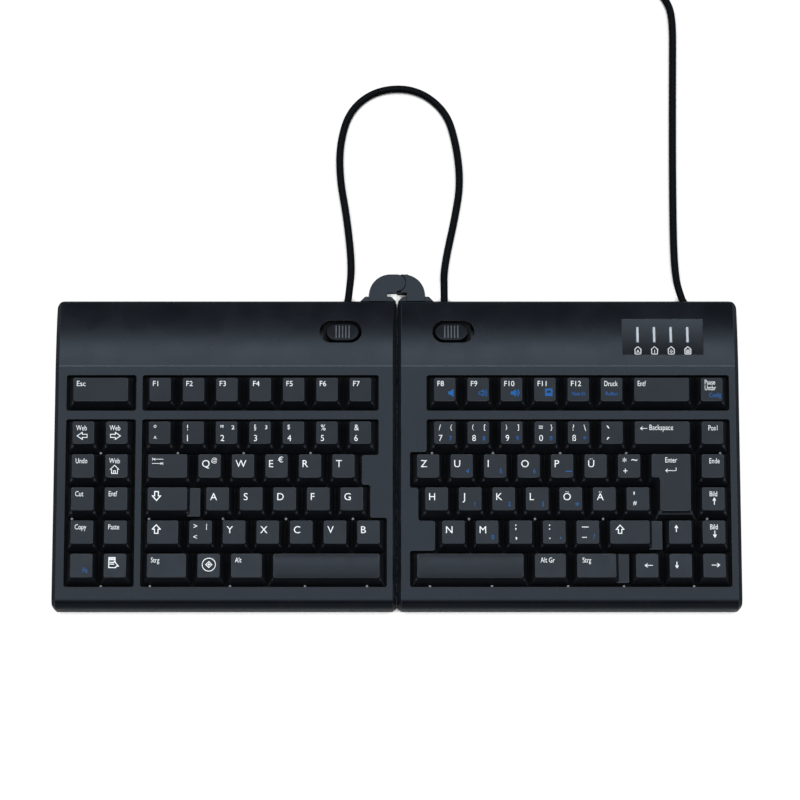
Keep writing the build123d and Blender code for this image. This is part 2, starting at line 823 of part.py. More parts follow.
def hank_path():
    """Centre line of the hank: in on the lower layer, out on the upper one, then the tail."""
    runs = 2 * hank_loops
    outer = hank_inner_fold + (hank_loops - 1) / 2 * hank_step
    x, y, z = hank_half_run, -outer, cable_radius
    heading = -1
    edges = [Line((x + cable_diameter, y, z), (x, y, z))]
    for run in range(runs):
        rise = hank_layer_rise if run == hank_loops else 0
        start, end = Vector(x, y, z), Vector(-x, y, z + rise)
        edges += s_bend(start, end, heading) if rise else [Line(start, end)]
        x, z = -x, z + rise
        if run == runs - 1:
            break
        inward = run < hank_loops
        steps = (x > 0) if inward else (x < 0)
        across = -y + copysign(hank_step, y) * steps * (1 if inward else -1)
        edges.append(TangentArc((x, y, z), (x, across, z), tangent=(heading, 0, 0)))
        y = across
        heading = -heading
    straight = x + tail_straight
    edges.append(Line((x, y, z), (straight, y, z)))
    low = Vector(straight + tail_drop_run, y, plug_height)
    edges += s_bend(Vector(straight, y, z), low, heading)
    edges.append(Line(low, low + Vector(cable_diameter, 0, 0)))
    return Wire(edges)


def hank_place():
    """Frame of the hank, whose lead-in starts where the long cable's free stretch ends."""
    outer = hank_inner_fold + (hank_loops - 1) / 2 * hank_step
    end = usb_route[-1]
    return Vector(end[0] - hank_half_run - cable_diameter, end[1] + outer, 0)


def least_self_gap(path):
    """Least gap between stretches of a tube that lie further apart along it than a near fold."""
    points = [path @ (n / gap_point_count) for n in range(gap_point_count + 1)]
    apart = int(hank_inner_fold / path.length * gap_point_count) + 1
    least = min((one - two).length for n, one in enumerate(points) for two in points[n + apart :])
    return least - cable_diameter


def usb_cable_coil():
    """Put-away length of the long cable as one unbroken tube."""
    path = hank_path()
    section = level_plane(path) * Rectangle(cable_diameter, cable_diameter)
    tube = sweep(section, path)
    print_sizes("usb_cable_coil", path, section, tube)
    print("usb_cable_coil least self gap", round(least_self_gap(path), 2))
    return Pos(*hank_place()) * tube


def plug_place():
    """Where the cable enters the plug."""
    outer = hank_inner_fold + (hank_loops - 1) / 2 * hank_step
    x = hank_half_run + tail_straight + tail_drop_run + cable_diameter
    return hank_place() + Vector(x, outer, plug_height)


def across_x(x, face):
    """A face set square to X, its own X axis turned along Y."""
    place = plug_place()
    return Plane(origin=(place.X + x, place.Y, place.Z), x_dir=(0, 1, 0), z_dir=(1, 0, 0)) * face


def usb_plug_grip():
    """Moulded grip with its strain relief."""
    root = across_x(0, Rectangle(relief_width, relief_width))
    relief = extrude(root, amount=relief_length, taper=-relief_taper)
    body = Rectangle(grip_width, grip_thickness)
    body = across_x(relief_length, chamfer(body.vertices(), grip_edge_chamfer))
    return relief + extrude(body, amount=grip_length)


def usb_plug_shell():
    """Folded metal shell with two catch windows and its contact tongue."""
    start = relief_length + grip_length
    shell = extrude(across_x(start, Rectangle(shell_width, shell_thickness)), amount=shell_length)
    hollow = Rectangle(shell_width - 2 * shell_wall, shell_thickness - 2 * shell_wall)
    shell -= extrude(across_x(start + shell_wall, hollow), amount=shell_length)
    window = Box(shell_window, shell_window, shell_thickness)
    for side in (-1, 1):
        middle = Vector(start + shell_length / 2, side * shell_window_spacing / 2, shell_thickness / 2)
        shell -= Pos(*(plug_place() + middle)) * window
    rest = (shell_thickness - tongue_plate_thickness) / 2 - shell_wall
    tongue = Pos(0, -rest) * Rectangle(shell_width - 2 * shell_wall, tongue_plate_thickness)
    return shell + extrude(across_x(start + shell_wall, tongue), amount=shell_length - 2 * shell_wall)


def build():
    os.makedirs("parts", exist_ok=True)
    for side, name in ((LEFT, "left"), (RIGHT, "right")):
        write(f"{name}_top_case", top_case(side))
        write(f"{name}_bottom_case", bottom_case(side))
        write(f"{name}_feet", feet(side))
        write(f"{name}_case_screws", case_screws(side))
        write(f"{name}_backing_plate", backing_plate(side))
        write(f"{name}_switch_membrane", switch_membrane(side))
        write(f"{name}_dome_sheet", dome_sheet(side))
        write(f"{name}_key_frame", key_frame(side))
        write(f"{name}_circuit_board", circuit_board(side))
        write(f"{name}_release_slider", release_slider(side))
        write(f"{name}_tether_arm", tether_arm(side))
        write(f"{name}_cable_bushes", [cable_bush(*place) for place in exit_places(side)])
        for group in key_shares(side):
            write(group, keys(side, group))
    write("tether_pin", tether_pin())
    write("indicator_window", indicator_window())
    write("light_bars", light_bars())
    write("link_cable", cable_tube("link_cable", link_route, cable_side_count))
    write("usb_cable", cable_tube("usb_cable", usb_route, cable_side_count))
    write("usb_cable_coil", usb_cable_coil())
    write("usb_plug_grip", usb_plug_grip())
    write("usb_plug_shell", usb_plug_shell())


build()
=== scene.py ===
"""Looks of an ergonomic split keyboard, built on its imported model."""

import logging
import math
from dataclasses import dataclass, field, replace
from enum import Enum

import bmesh
import bpy
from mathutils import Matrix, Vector
from mathutils.bvhtree import BVHTree


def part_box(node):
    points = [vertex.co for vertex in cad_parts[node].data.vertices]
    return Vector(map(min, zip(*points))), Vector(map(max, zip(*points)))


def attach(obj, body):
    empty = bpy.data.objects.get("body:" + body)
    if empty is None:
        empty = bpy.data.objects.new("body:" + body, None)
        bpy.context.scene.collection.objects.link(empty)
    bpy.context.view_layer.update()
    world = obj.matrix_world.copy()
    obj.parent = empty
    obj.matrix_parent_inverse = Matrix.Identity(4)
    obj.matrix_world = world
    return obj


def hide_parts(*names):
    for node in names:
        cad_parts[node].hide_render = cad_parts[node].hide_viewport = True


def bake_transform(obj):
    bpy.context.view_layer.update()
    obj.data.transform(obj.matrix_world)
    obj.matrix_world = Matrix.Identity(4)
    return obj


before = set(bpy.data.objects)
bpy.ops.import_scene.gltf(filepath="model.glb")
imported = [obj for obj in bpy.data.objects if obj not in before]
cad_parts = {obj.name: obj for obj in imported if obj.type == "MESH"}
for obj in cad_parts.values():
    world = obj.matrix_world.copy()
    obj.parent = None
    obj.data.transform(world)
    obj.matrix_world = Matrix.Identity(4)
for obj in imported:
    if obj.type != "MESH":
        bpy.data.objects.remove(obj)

log = logging.getLogger("keyboard")
MM = 0.001
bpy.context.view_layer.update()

Point = tuple[float, float]
Place = tuple[float, float, float]
Colour = tuple[float, float, float]
Looks = dict[str, bpy.types.Material]


def metres(place: Place) -> Place:
    """Turn a place in millimetres into metres."""
    return tuple(length * MM for length in place)


# Node helpers


def add_node(tree: bpy.types.NodeTree, kind: str, values: dict[str, object] | None = None,
             **settings: object) -> bpy.types.Node:
    """Add a node to a tree.

    Args:
        tree: The tree.
        kind: The node's type.
        values: Values of its input sockets, by name.
        settings: Settings of the node itself, made first.

    Returns:
        The new node.
    """
    node = tree.nodes.new(kind)
    for name, setting in settings.items():
        setattr(node, name, setting)
    for socket, value in (values or {}).items():
        node.inputs[socket].default_value = value
    return node


def wire(tree: bpy.types.NodeTree, *joins: tuple[bpy.types.Node, str, bpy.types.Node, str | int]) -> None:
    """Link nodes, each join from one node's named output to another node's input."""
    for giver, output, taker, entry in joins:
        tree.links.new(giver.outputs[output], taker.inputs[entry])


# Finishes


def new_material(name: str) -> tuple[bpy.types.Material, bpy.types.Node]:
    """Make a node material.

    Args:
        name: The material's name.

    Returns:
        The material and its Principled BSDF node.
    """
    material = bpy.data.materials.new(name)
    material.use_nodes = True
    return material, material.node_tree.nodes["Principled BSDF"]


def grain_group() -> bpy.types.NodeTree:
    """Build the shared surface grain: fine moulded texture over broad, faint unevenness.

    Returns:
        A shader group that gives a height, a roughness and a shade between 0 and 1.
    """
    tree = bpy.data.node_groups.new("surface_grain", "ShaderNodeTree")
    defaults = {"Grain per Metre": 3000.0, "Patch per Metre": 60.0, "Smooth": 0.4, "Rough": 0.5}
    for name, value in defaults.items():
        tree.interface.new_socket(name, in_out="INPUT", socket_type="NodeSocketFloat").default_value = value
    for name in ("Height", "Roughness", "Shade"):
        tree.interface.new_socket(name, in_out="OUTPUT", socket_type="NodeSocketFloat")
    given, result = add_node(tree, "NodeGroupInput"), add_node(tree, "NodeGroupOutput")
    place = add_node(tree, "ShaderNodeTexCoord")
    fine = add_node(tree, "ShaderNodeTexNoise", {"Detail": 3.0})
    broad = add_node(tree, "ShaderNodeTexNoise", {"Detail": 4.0})
    spread = add_node(tree, "ShaderNodeMapRange", {"From Min": 0.3, "From Max": 0.7})
    wire(
        tree,
        (place, "Object", fine, "Vector"), (place, "Object", broad, "Vector"),
        (given, "Grain per Metre", fine, "Scale"), (given, "Patch per Metre", broad, "Scale"),
        (broad, "Fac", spread, "Value"), (given, "Smooth", spread, "To Min"),
        (given, "Rough", spread, "To Max"), (fine, "Fac", result, "Height"),
        (spread, "Result", result, "Roughness"), (broad, "Fac", result, "Shade"),
    )
    return tree


@dataclass(frozen=True)
class Finish:
    """A moulded or coated surface: two close colours, its gloss range and the grain of its skin."""

    name: str
    dark: Colour
    light: Colour
    smooth: float = 0.4
    rough: float = 0.5
    grain: float = 3000.0
    patch: float = 60.0
    bump: float = 0.05
    relief: float = 0.0001
    metallic: float = 0.0
    specular: float = 0.5
    tint: Colour = (1.0, 1.0, 1.0)

    def build(self, grain: bpy.types.NodeTree) -> bpy.types.Material:
        """Make the material.

        Args:
            grain: The shared grain group.

        Returns:
            The finished material.
        """
        material, shader = new_material(self.name)
        tree = material.node_tree
        skin = add_node(tree, "ShaderNodeGroup", {
            "Grain per Metre": self.grain, "Patch per Metre": self.patch, "Smooth": self.smooth,
            "Rough": self.rough,
        }, node_tree=grain)
        colours = {"A": (*self.dark, 1), "B": (*self.light, 1)}
        blend = add_node(tree, "ShaderNodeMix", colours, data_type="RGBA")
        skin_relief = add_node(tree, "ShaderNodeBump", {"Strength": self.bump, "Distance": self.relief})
        wire(
            tree,
            (skin, "Shade", blend, "Factor"), (blend, "Result", shader, "Base Color"),
            (skin, "Roughness", shader, "Roughness"), (skin, "Height", skin_relief, "Height"),
            (skin_relief, "Normal", shader, "Normal"),
        )
        shader.inputs["Metallic"].default_value = self.metallic
        shader.inputs["Specular IOR Level"].default_value = self.specular
        shader.inputs["Specular Tint"].default_value = (*self.tint, 1)
        return material


COOL: Colour = (0.72, 0.84, 1.0)
FINISHES = (
    Finish("case_grain", (0.0036, 0.0044, 0.0064), (0.0052, 0.0062, 0.0086), 0.22, 0.30, 2600, 55, 0.12,
           specular=0.25, tint=COOL),
    Finish("key_satin", (0.0046, 0.0054, 0.0070), (0.0064, 0.0072, 0.0090), 0.33, 0.42, 3600, 110, 0.10,
           specular=0.26, tint=COOL),
    # Painted highlight for the rounded rims of the caps.
    Finish("painted_key_rim_highlight", (0.030, 0.033, 0.038), (0.040, 0.044, 0.050), 0.30, 0.38, 3600, 110, 0.10,
           specular=0.38, tint=COOL),
    Finish("slider_satin", (0.0030, 0.0034, 0.0048), (0.0042, 0.0048, 0.0062), 0.32, 0.40, 3600, 90, 0.08,
           specular=0.2, tint=COOL),
    # Painted highlight for bevels, slider ribs and the crease bead: far brighter than the case, standing in
    # for the light that these edges catch.
    Finish("painted_highlight_line", (0.070, 0.077, 0.088), (0.088, 0.096, 0.108), 0.26, 0.34, 3000, 300, 0.05,
           specular=0.6, tint=COOL),
    Finish("window_gloss", (0.0030, 0.0034, 0.0044), (0.0044, 0.0050, 0.0062), 0.26, 0.33, 900, 30, 0.01,
           specular=0.27, tint=COOL),
    Finish("light_frost", (0.36, 0.40, 0.45), (0.44, 0.48, 0.53), 0.22, 0.32, 2200, 160, 0.04),
    Finish("legend_white", (0.78, 0.80, 0.82), (0.88, 0.89, 0.90), 0.45, 0.55, 6000, 400, 0.02,
           specular=0.2),
    Finish("legend_blue", (0.001, 0.095, 0.340), (0.002, 0.120, 0.410), 0.45, 0.55, 6000, 400, 0.02,
           specular=0.2),
    Finish("cable_black", (0.0012, 0.0013, 0.0017), (0.0018, 0.0020, 0.0024), 0.44, 0.54, 1800, 70, 0.06,
           specular=0.06, tint=COOL),
    Finish("plug_rubber", (0.004, 0.004, 0.005), (0.007, 0.007, 0.008), 0.5, 0.62, 2400, 90, 0.12,
           specular=0.2),
    Finish("plug_nickel", (0.52, 0.52, 0.51), (0.64, 0.64, 0.62), 0.18, 0.30, 1500, 120, 0.03,
           metallic=1.0),
    Finish("screw_zinc", (0.42, 0.43, 0.44), (0.56, 0.57, 0.58), 0.25, 0.4, 2500, 300, 0.05, metallic=1.0),
    Finish("foot_rubber", (0.010, 0.010, 0.011), (0.018, 0.018, 0.019), 0.62, 0.78, 2000, 90, 0.16),
    Finish("plate_steel", (0.34, 0.35, 0.36), (0.44, 0.45, 0.46), 0.3, 0.45, 700, 30, 0.05, metallic=1.0),
    Finish("film_clear", (0.40, 0.46, 0.48), (0.52, 0.57, 0.58), 0.2, 0.3, 1200, 50, 0.02),
    Finish("dome_silicone", (0.30, 0.31, 0.32), (0.38, 0.39, 0.40), 0.5, 0.62, 1500, 60, 0.05),
    Finish("frame_black", (0.0016, 0.0018, 0.0024), (0.0026, 0.0028, 0.0036), 0.5, 0.62, 2200, 60, 0.08,
           specular=0.1),
    Finish("board_green", (0.006, 0.070, 0.028), (0.010, 0.095, 0.040), 0.22, 0.34, 1800, 80, 0.04),
    # Painted highlight: the pegs are grey so that their heads show as glints.
    Finish("painted_peg_highlight", (0.16, 0.17, 0.19), (0.22, 0.23, 0.25), 0.22, 0.32, 3000, 200, 0.03),
    Finish("tie_black", (0.008, 0.008, 0.009), (0.014, 0.014, 0.015), 0.55, 0.7, 4200, 300, 0.25),
)


# Mesh helpers


MERGE = 0.001 * MM
FLAT_DEGREES = 0.6
BEVEL_DEGREES = 30
SKIN_DEGREES = 38
EASE_DEGREES = 50
ARC_SLACK = 0.15 * MM
ARC_LIKENESS = 0.99


def piece(name: str, mesh: bpy.types.Mesh, materials: list[bpy.types.Material]) -> bpy.types.Object:
    """Link a mesh as a piece at the origin and dress it.

    Args:
        name: The piece's name.
        mesh: Its mesh, in place.
        materials: Its materials in slot order.

    Returns:
        The new object.
    """
    obj = bpy.data.objects.new(name, mesh)
    bpy.context.scene.collection.objects.link(obj)
    if mesh.materials:
        mesh.materials.clear()
    for material in materials:
        mesh.materials.append(material)
    return obj


def ease_edges(obj: bpy.types.Object, angle: float = EASE_DEGREES) -> None:
    """Shade a piece smooth except across edges sharper than an angle in degrees."""
    shape = bmesh.new()
    shape.from_mesh(obj.data)
    for face in shape.faces:
        face.smooth = True
    for edge in shape.edges:
        edge.smooth = len(edge.link_faces) == 2 and edge.calc_face_angle(0) < math.radians(angle)
    shape.to_mesh(obj.data)
    shape.free()


def baked(obj: bpy.types.Object) -> bpy.types.Mesh:
    """Return the plain mesh that an object's modifiers give."""
    graph = bpy.context.evaluated_depsgraph_get()
    return bpy.data.meshes.new_from_object(obj.evaluated_get(graph))


def drawn(name: str, shape: bmesh.types.BMesh) -> bpy.types.Mesh:
    """Turn a drawing into a mesh and free it."""
    mesh = bpy.data.meshes.new(name)
    shape.to_mesh(mesh)
    shape.free()
    return mesh


def closed_piece(name: str, shape: bmesh.types.BMesh, material: bpy.types.Material,
                 body: str) -> bpy.types.Object:
    """Turn a closed drawing into a piece that rides on a body.

    Args:
        name: The piece's name.
        shape: The drawing, which is freed.
        material: Its finish.
        body: The body.

    Returns:
        The new piece.
    """
    bmesh.ops.recalc_face_normals(shape, faces=shape.faces)
    obj = piece(name, drawn(name, shape), [material])
    ease_edges(obj)
    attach(obj, body)
    return obj


def softened(node: str, body: str, material: bpy.types.Material, width: float, segments: int = 2,
             edge: bpy.types.Material | None = None) -> bpy.types.Object:
    """Replace a CAD node by a copy whose sharp edges are rounded.

    Args:
        node: The CAD node.
        body: The body that the piece rides on.
        material: Its finish.
        width: Width of the rounding in metres.
        segments: Facets across the rounding.
        edge: Finish of the rounding, a painted highlight: brighter than the faces, standing in for the light
            that the rounding catches.

    Returns:
        The new piece.
    """
    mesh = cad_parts[node].data.copy()
    shape = bmesh.new()
    shape.from_mesh(mesh)
    bmesh.ops.remove_doubles(shape, verts=shape.verts, dist=MERGE)
    flat_angle = math.radians(FLAT_DEGREES)
    bmesh.ops.dissolve_limit(shape, angle_limit=flat_angle, verts=shape.verts, edges=shape.edges)
    shape.to_mesh(mesh)
    shape.free()
    obj = piece(f"{node}_skin", mesh, [material, edge] if edge else [material])
    bevel = obj.modifiers.new("edges", "BEVEL")
    bevel.width = width
    bevel.segments = segments
    bevel.limit_method = "ANGLE"
    bevel.angle_limit = math.radians(BEVEL_DEGREES)
    bevel.use_clamp_overlap = True
    bevel.material = 1 if edge else -1
    flat = baked(obj)
    obj.modifiers.clear()
    obj.data = flat
    ease_edges(obj, SKIN_DEGREES)
    even_normals(obj)
    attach(obj, body)
    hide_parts(node)
    return obj


def even_normals(obj: bpy.types.Object) -> None:
    """Keep large faces flat in their shading, so that only the rounded edges between them turn."""
    modifier = obj.modifiers.new("normals", "WEIGHTED_NORMAL")
    modifier.keep_sharp = True
    mesh = baked(obj)
    obj.modifiers.clear()
    obj.data = mesh


def arc_normals(obj: bpy.types.Object, start: Point, end: Point, bulge: float) -> None:
    """Shade the facets of an upper face as the arc that they follow, seen from the side.

    Args:
        obj: The piece.
        start: Y and Z where the arc starts.
        end: Y and Z where it ends, farther back.
        bulge: Its height over its chord, below zero where it is hollow.
    """
    first, last = Vector(start), Vector(end)
    chord = last - first
    radius = (chord.length**2 / 4 + bulge**2) / (2 * bulge)
    centre = (first + last) / 2 + Vector((chord.y, -chord.x)).normalized() * (radius - bulge)
    mesh = obj.data
    normals = [corner.vector.copy() for corner in mesh.corner_normals]
    for polygon in mesh.polygons:
        if not first.x < polygon.center.y < last.x:
            continue
        for loop in polygon.loop_indices:
            place = mesh.vertices[mesh.loops[loop].vertex_index].co
            spoke = Vector((place.y, place.z)) - centre
            normal = Vector((0, spoke.x, spoke.y)).normalized() * math.copysign(1, bulge)
            if abs(spoke.length - abs(radius)) < ARC_SLACK and normals[loop].dot(normal) > ARC_LIKENESS:
                normals[loop] = normal
    mesh.normals_split_custom_set(normals)


def ring_faces(shape: bmesh.types.BMesh, rings: list[list[Place]]) -> None:
    """Skin closed rings of equal count one to the next and close both ends with a fan."""
    loops = [[shape.verts.new(point) for point in ring] for ring in rings]
    count = len(loops[0])
    for low, high in zip(loops, loops[1:]):
        for n in range(count):
            after = (n + 1) % count
            shape.faces.new((low[n], low[after], high[after], high[n]))
    for loop, turned in ((loops[0], True), (loops[-1], False)):
        middle = sum((vert.co for vert in loop), Vector()) / count
        hub = shape.verts.new(middle)
        for n in range(count):
            pair = (loop[n], loop[(n + 1) % count])
            shape.faces.new((hub, *(reversed(pair) if turned else pair)))


# Keys


class Ink(Enum):
    """Inks of the legends, by their place in a legend piece's material slots."""

    WHITE = 0
    BLUE = 1


Strokes = tuple[tuple[Point, ...], ...]
BLOCK_ARROW: Strokes = (
    ((0.5, 1.0), (0.95, 0.5), (0.7, 0.5), (0.7, 0.02), (0.3, 0.02), (0.3, 0.5), (0.05, 0.5), (0.5, 1.0)),
)
SHORT_ARROW: Strokes = (((0.5, 0.0), (0.5, 0.95)), ((0.1, 0.62), (0.5, 0.97), (0.9, 0.62)))
LONG_ARROW: Strokes = (((1.0, 0.5), (0.05, 0.5)), ((0.32, 0.9), (0.03, 0.5), (0.32, 0.1)))


def upside_down(lines: Strokes) -> Strokes:
    """Mirror strokes top to bottom in their square."""
    return tuple(tuple((x, 1 - y) for x, y in line) for line in lines)


def back_to_front(lines: Strokes) -> Strokes:
    """Mirror strokes left to right in their square."""
    return tuple(tuple((1 - x, y) for x, y in line) for line in lines)


def laid_over(lines: Strokes) -> Strokes:
    """Swap across and up, so that strokes that point up point right."""
    return tuple(tuple((y, x) for x, y in line) for line in lines)


class Sign(Enum):
    """Legends drawn as strokes in a unit square, Y up: polylines, width of stroke, width over height."""

    ARROW_LEFT = (LONG_ARROW, 0.16, 1.8)
    ARROW_RIGHT = (back_to_front(LONG_ARROW), 0.16, 1.8)
    ARROW_UP = (SHORT_ARROW, 0.14, 0.5)
    ARROW_DOWN = (upside_down(SHORT_ARROW), 0.14, 0.5)
    BLOCK_UP = (BLOCK_ARROW, 0.11, 1.0)
    BLOCK_DOWN = (upside_down(BLOCK_ARROW), 0.11, 1.0)
    BLOCK_LEFT = (back_to_front(laid_over(BLOCK_ARROW)), 0.10, 1.3)
    BLOCK_RIGHT = (laid_over(BLOCK_ARROW), 0.10, 1.3)
    TABS = (
        (
            ((0.02, 0.62), (0.02, 0.98)), ((1.0, 0.8), (0.08, 0.8)),
            ((0.25, 0.92), (0.08, 0.8), (0.25, 0.68)), ((0.98, 0.02), (0.98, 0.38)),
            ((0.0, 0.2), (0.92, 0.2)), ((0.75, 0.32), (0.92, 0.2), (0.75, 0.08)),
        ),
        0.065, 1.5,
    )
    RETURN = ((((1.0, 1.0), (1.0, 0.35), (0.05, 0.35)), ((0.2, 0.7), (0.03, 0.35), (0.2, 0.0))), 0.15, 2.6)
    HOME = (
        (
            ((0.0, 0.5), (0.5, 0.98), (1.0, 0.5)), ((0.16, 0.5), (0.16, 0.03), (0.84, 0.03), (0.84, 0.5)),
            ((0.4, 0.03), (0.4, 0.34), (0.6, 0.34), (0.6, 0.03)),
        ),
        0.085, 1.0,
    )
    MENU = (
        (
            ((0.04, 0.02), (0.04, 0.95), (0.62, 0.95), (0.62, 0.5)), ((0.04, 0.84), (0.62, 0.84)),
            ((0.04, 0.74), (0.62, 0.74)), ((0.15, 0.5), (0.5, 0.5)), ((0.15, 0.34), (0.5, 0.34)),
            ((0.04, 0.02), (0.6, 0.02)), ((0.55, 0.6), (0.95, 0.15), (0.75, 0.15), (0.68, 0.0)),
        ),
        0.08, 0.95,
    )
    SPEAKER = (
        (((0.0, 0.35), (0.0, 0.65), (0.35, 0.65), (0.9, 0.95), (0.9, 0.05), (0.35, 0.35), (0.0, 0.35)),
         ((0.2, 0.5), (0.75, 0.5)), ((0.6, 0.25), (0.6, 0.75))),
        0.18, 0.7,
    )
    SPEAKER_LOW = (
        (((0.0, 0.35), (0.0, 0.65), (0.2, 0.65), (0.5, 0.9), (0.5, 0.1), (0.2, 0.35), (0.0, 0.35)),
         ((0.68, 0.75), (0.76, 0.5), (0.68, 0.25)), ((0.86, 0.95), (0.98, 0.5), (0.86, 0.05))),
        0.09, 1.15,
    )
    SPEAKER_LOUD = (
        (((0.0, 0.35), (0.0, 0.65), (0.2, 0.65), (0.5, 0.92), (0.5, 0.08), (0.2, 0.35), (0.0, 0.35)),
         ((0.1, 0.5), (0.45, 0.5)), ((0.36, 0.3), (0.36, 0.7)),
         ((0.66, 0.75), (0.74, 0.5), (0.66, 0.25)), ((0.82, 0.98), (0.96, 0.5), (0.82, 0.02))),
        0.14, 1.3,
    )
    SCREEN = (
        (((0.04, 0.04), (0.04, 0.96), (0.96, 0.96), (0.96, 0.04), (0.04, 0.04)), ((0.1, 0.2), (0.9, 0.2)),
         ((0.1, 0.32), (0.9, 0.32)), ((0.1, 0.85), (0.9, 0.85)), ((0.12, 0.1), (0.12, 0.9)),
         ((0.88, 0.1), (0.88, 0.9))),
        0.16, 1.0,
    )
    RING = (
        (
            tuple((0.5 + 0.47 * math.cos(n * math.tau / 28), 0.5 + 0.47 * math.sin(n * math.tau / 28))
                  for n in range(29)),
            ((0.5, 0.72), (0.72, 0.5), (0.5, 0.28), (0.28, 0.5), (0.5, 0.72)), ((0.4, 0.5), (0.6, 0.5)),
            ((0.5, 0.4), (0.5, 0.6)),
        ),
        0.055, 1.0,
    )
    BAR = ((((0.0, 0.5), (1.0, 0.5)),), 1.0, 7.0)
    LOCK = (
        (((0.02, 0.62), (0.5, 0.98), (0.98, 0.62)),
         ((0.06, 0.66), (0.06, 0.1), (0.16, 0.03), (0.84, 0.03), (0.94, 0.1), (0.94, 0.66))),
        0.075, 0.8,
    )
    GRID = ((((0.0, 0.15), (1.0, 0.15)), ((0.0, 0.5), (1.0, 0.5)), ((0.0, 0.85), (1.0, 0.85))), 0.16, 0.8)


@dataclass(frozen=True)
class Legend:
    """One printed sign: where its upper left corner lies on the key's flat top, and how high it is."""

    glyph: str | Sign
    left: float
    back: float
    height: float
    ink: Ink = Ink.WHITE
    squeeze: float = 1.0


def letter(text: str) -> Legend:
    """Large letter of a letter key."""
    return Legend(text, 2.1, 3.4, 4.0)


def word(text: str, left: float = 2.2, squeeze: float = 0.72) -> Legend:
    """Small condensed word in the upper left corner."""
    return Legend(text, left, 2.3, 2.9, Ink.WHITE, squeeze)


def numeral(text: str) -> Legend:
    """Blue second function in the lower right corner."""
    return Legend(text, 8.9, 8.4, 2.5, Ink.BLUE, 0.9)


def pair(above: str, below: str, height: float = 3.3) -> tuple[Legend, Legend]:
    """Two signs, one over the other, as on a number key."""
    return Legend(above, 2.9, 1.9, height, squeeze=0.9), Legend(below, 2.9, 7.8, 3.4, squeeze=0.95)


BOTTOM, LOWER, HOME, UPPER, NUMBER, FUNCTION = range(6)


@dataclass(frozen=True)
class Run:
    """Keys of one size side by side: row, left edge and width in key pitches, and their legends."""

    row: int
    start: float
    width: float
    legends: tuple[tuple[Legend, ...], ...]


def letters(row: int, start: float, text: str, extras: dict[str, tuple[Legend, ...]] | None = None) -> Run:
    """Run of letter keys, with more legends for some of them."""
    more = extras or {}
    return Run(row, start, 1.0, tuple((letter(sign), *more.get(sign, ())) for sign in text))


def functions(start: float, first: int, last: int) -> Run:
    """Run of function keys that carry nothing but their number."""
    return Run(FUNCTION, start, 1.0, tuple((word(f"F{n}", squeeze=1.0),) for n in range(first, last + 1)))


HOT = -2.28
LEFT_RUNS = {
    "esc_key": (Run(FUNCTION, HOT, 2, ((word("Esc", squeeze=0.96),),)),),
    "left_function_keys": (functions(0, 1, 7),),
    "hot_keys": (
        Run(BOTTOM, HOT, 1, (
            (Legend("Fn", 7.2, 8.2, 2.9, Ink.BLUE, 0.75),), (Legend(Sign.MENU, 2.6, 2.0, 6.6),),
        )),
        Run(LOWER, HOT, 1, ((word("Copy"),), (word("Paste"),))),
        Run(HOME, HOT, 1, ((word("Cut"),), (word("Entf"),))),
        Run(UPPER, HOT, 1, ((word("Undo"),), (word("Web"), Legend(Sign.HOME, 2.5, 6.0, 5.2)))),
        Run(NUMBER, HOT, 1, (
            (word("Web"), Legend(Sign.BLOCK_LEFT, 2.5, 6.0, 4.6)),
            (word("Web"), Legend(Sign.BLOCK_RIGHT, 2.5, 6.0, 4.6)),
        )),
    ),
    "left_number_keys": (Run(NUMBER, 0, 1, (
        (Legend("°", 2.9, 2.1, 1.6), Legend("^", 2.9, 8.4, 1.6)), pair("!", "1"),
        (Legend("\"", 2.9, 2.1, 1.6), Legend("2", 2.9, 7.8, 3.4), Legend("²", 9.2, 2.4, 2.2)),
        (Legend("§", 2.9, 1.9, 3.4), Legend("3", 2.9, 7.8, 3.4), Legend("³", 9.2, 2.4, 2.2)),
        pair("$", "4", 3.0), pair("%", "5"), pair("&", "6"),
    )),),
    "tab_key": (Run(UPPER, 0, 1.5, ((Legend(Sign.TABS, 2.2, 2.0, 4.2),),)),),
    "left_upper_letter_keys": (letters(UPPER, 1.5, "QWERT", {
        "Q": (Legend("@", 7.4, 2.0, 3.3),), "E": (Legend("€", 7.2, 1.4, 3.3, squeeze=1.15),),
    }),),
    "caps_lock_key": (Run(HOME, 0, 1.75, ((Legend(Sign.BLOCK_DOWN, 2.2, 2.2, 5.8),),)),),
    "left_home_letter_keys": (letters(HOME, 1.75, "ASDFG"),),
    "left_shift_key": (Run(LOWER, 0, 1.25, ((Legend(Sign.BLOCK_UP, 2.4, 2.2, 5.6),),)),),
    "left_lower_letter_keys": (
        Run(LOWER, 1.25, 1, (
            (Legend(">", 2.3, 2.2, 2.2), Legend("<", 2.3, 8.4, 2.2), Legend("|", 9.6, 2.0, 3.6)),
        )),
        letters(LOWER, 2.25, "YXCVB"),
    ),
    "left_control_key": (Run(BOTTOM, 0, 1.5, ((word("Strg"),),)),),
    "system_key": (Run(BOTTOM, 1.5, 1, ((Legend(Sign.RING, 2.5, 2.4, 8.0),),)),),
    "left_alt_key": (Run(BOTTOM, 2.5, 1.25, ((word("Alt"),),)),),
    "left_space_bar": (Run(BOTTOM, 3.75, 3.5, ((),)),),
}
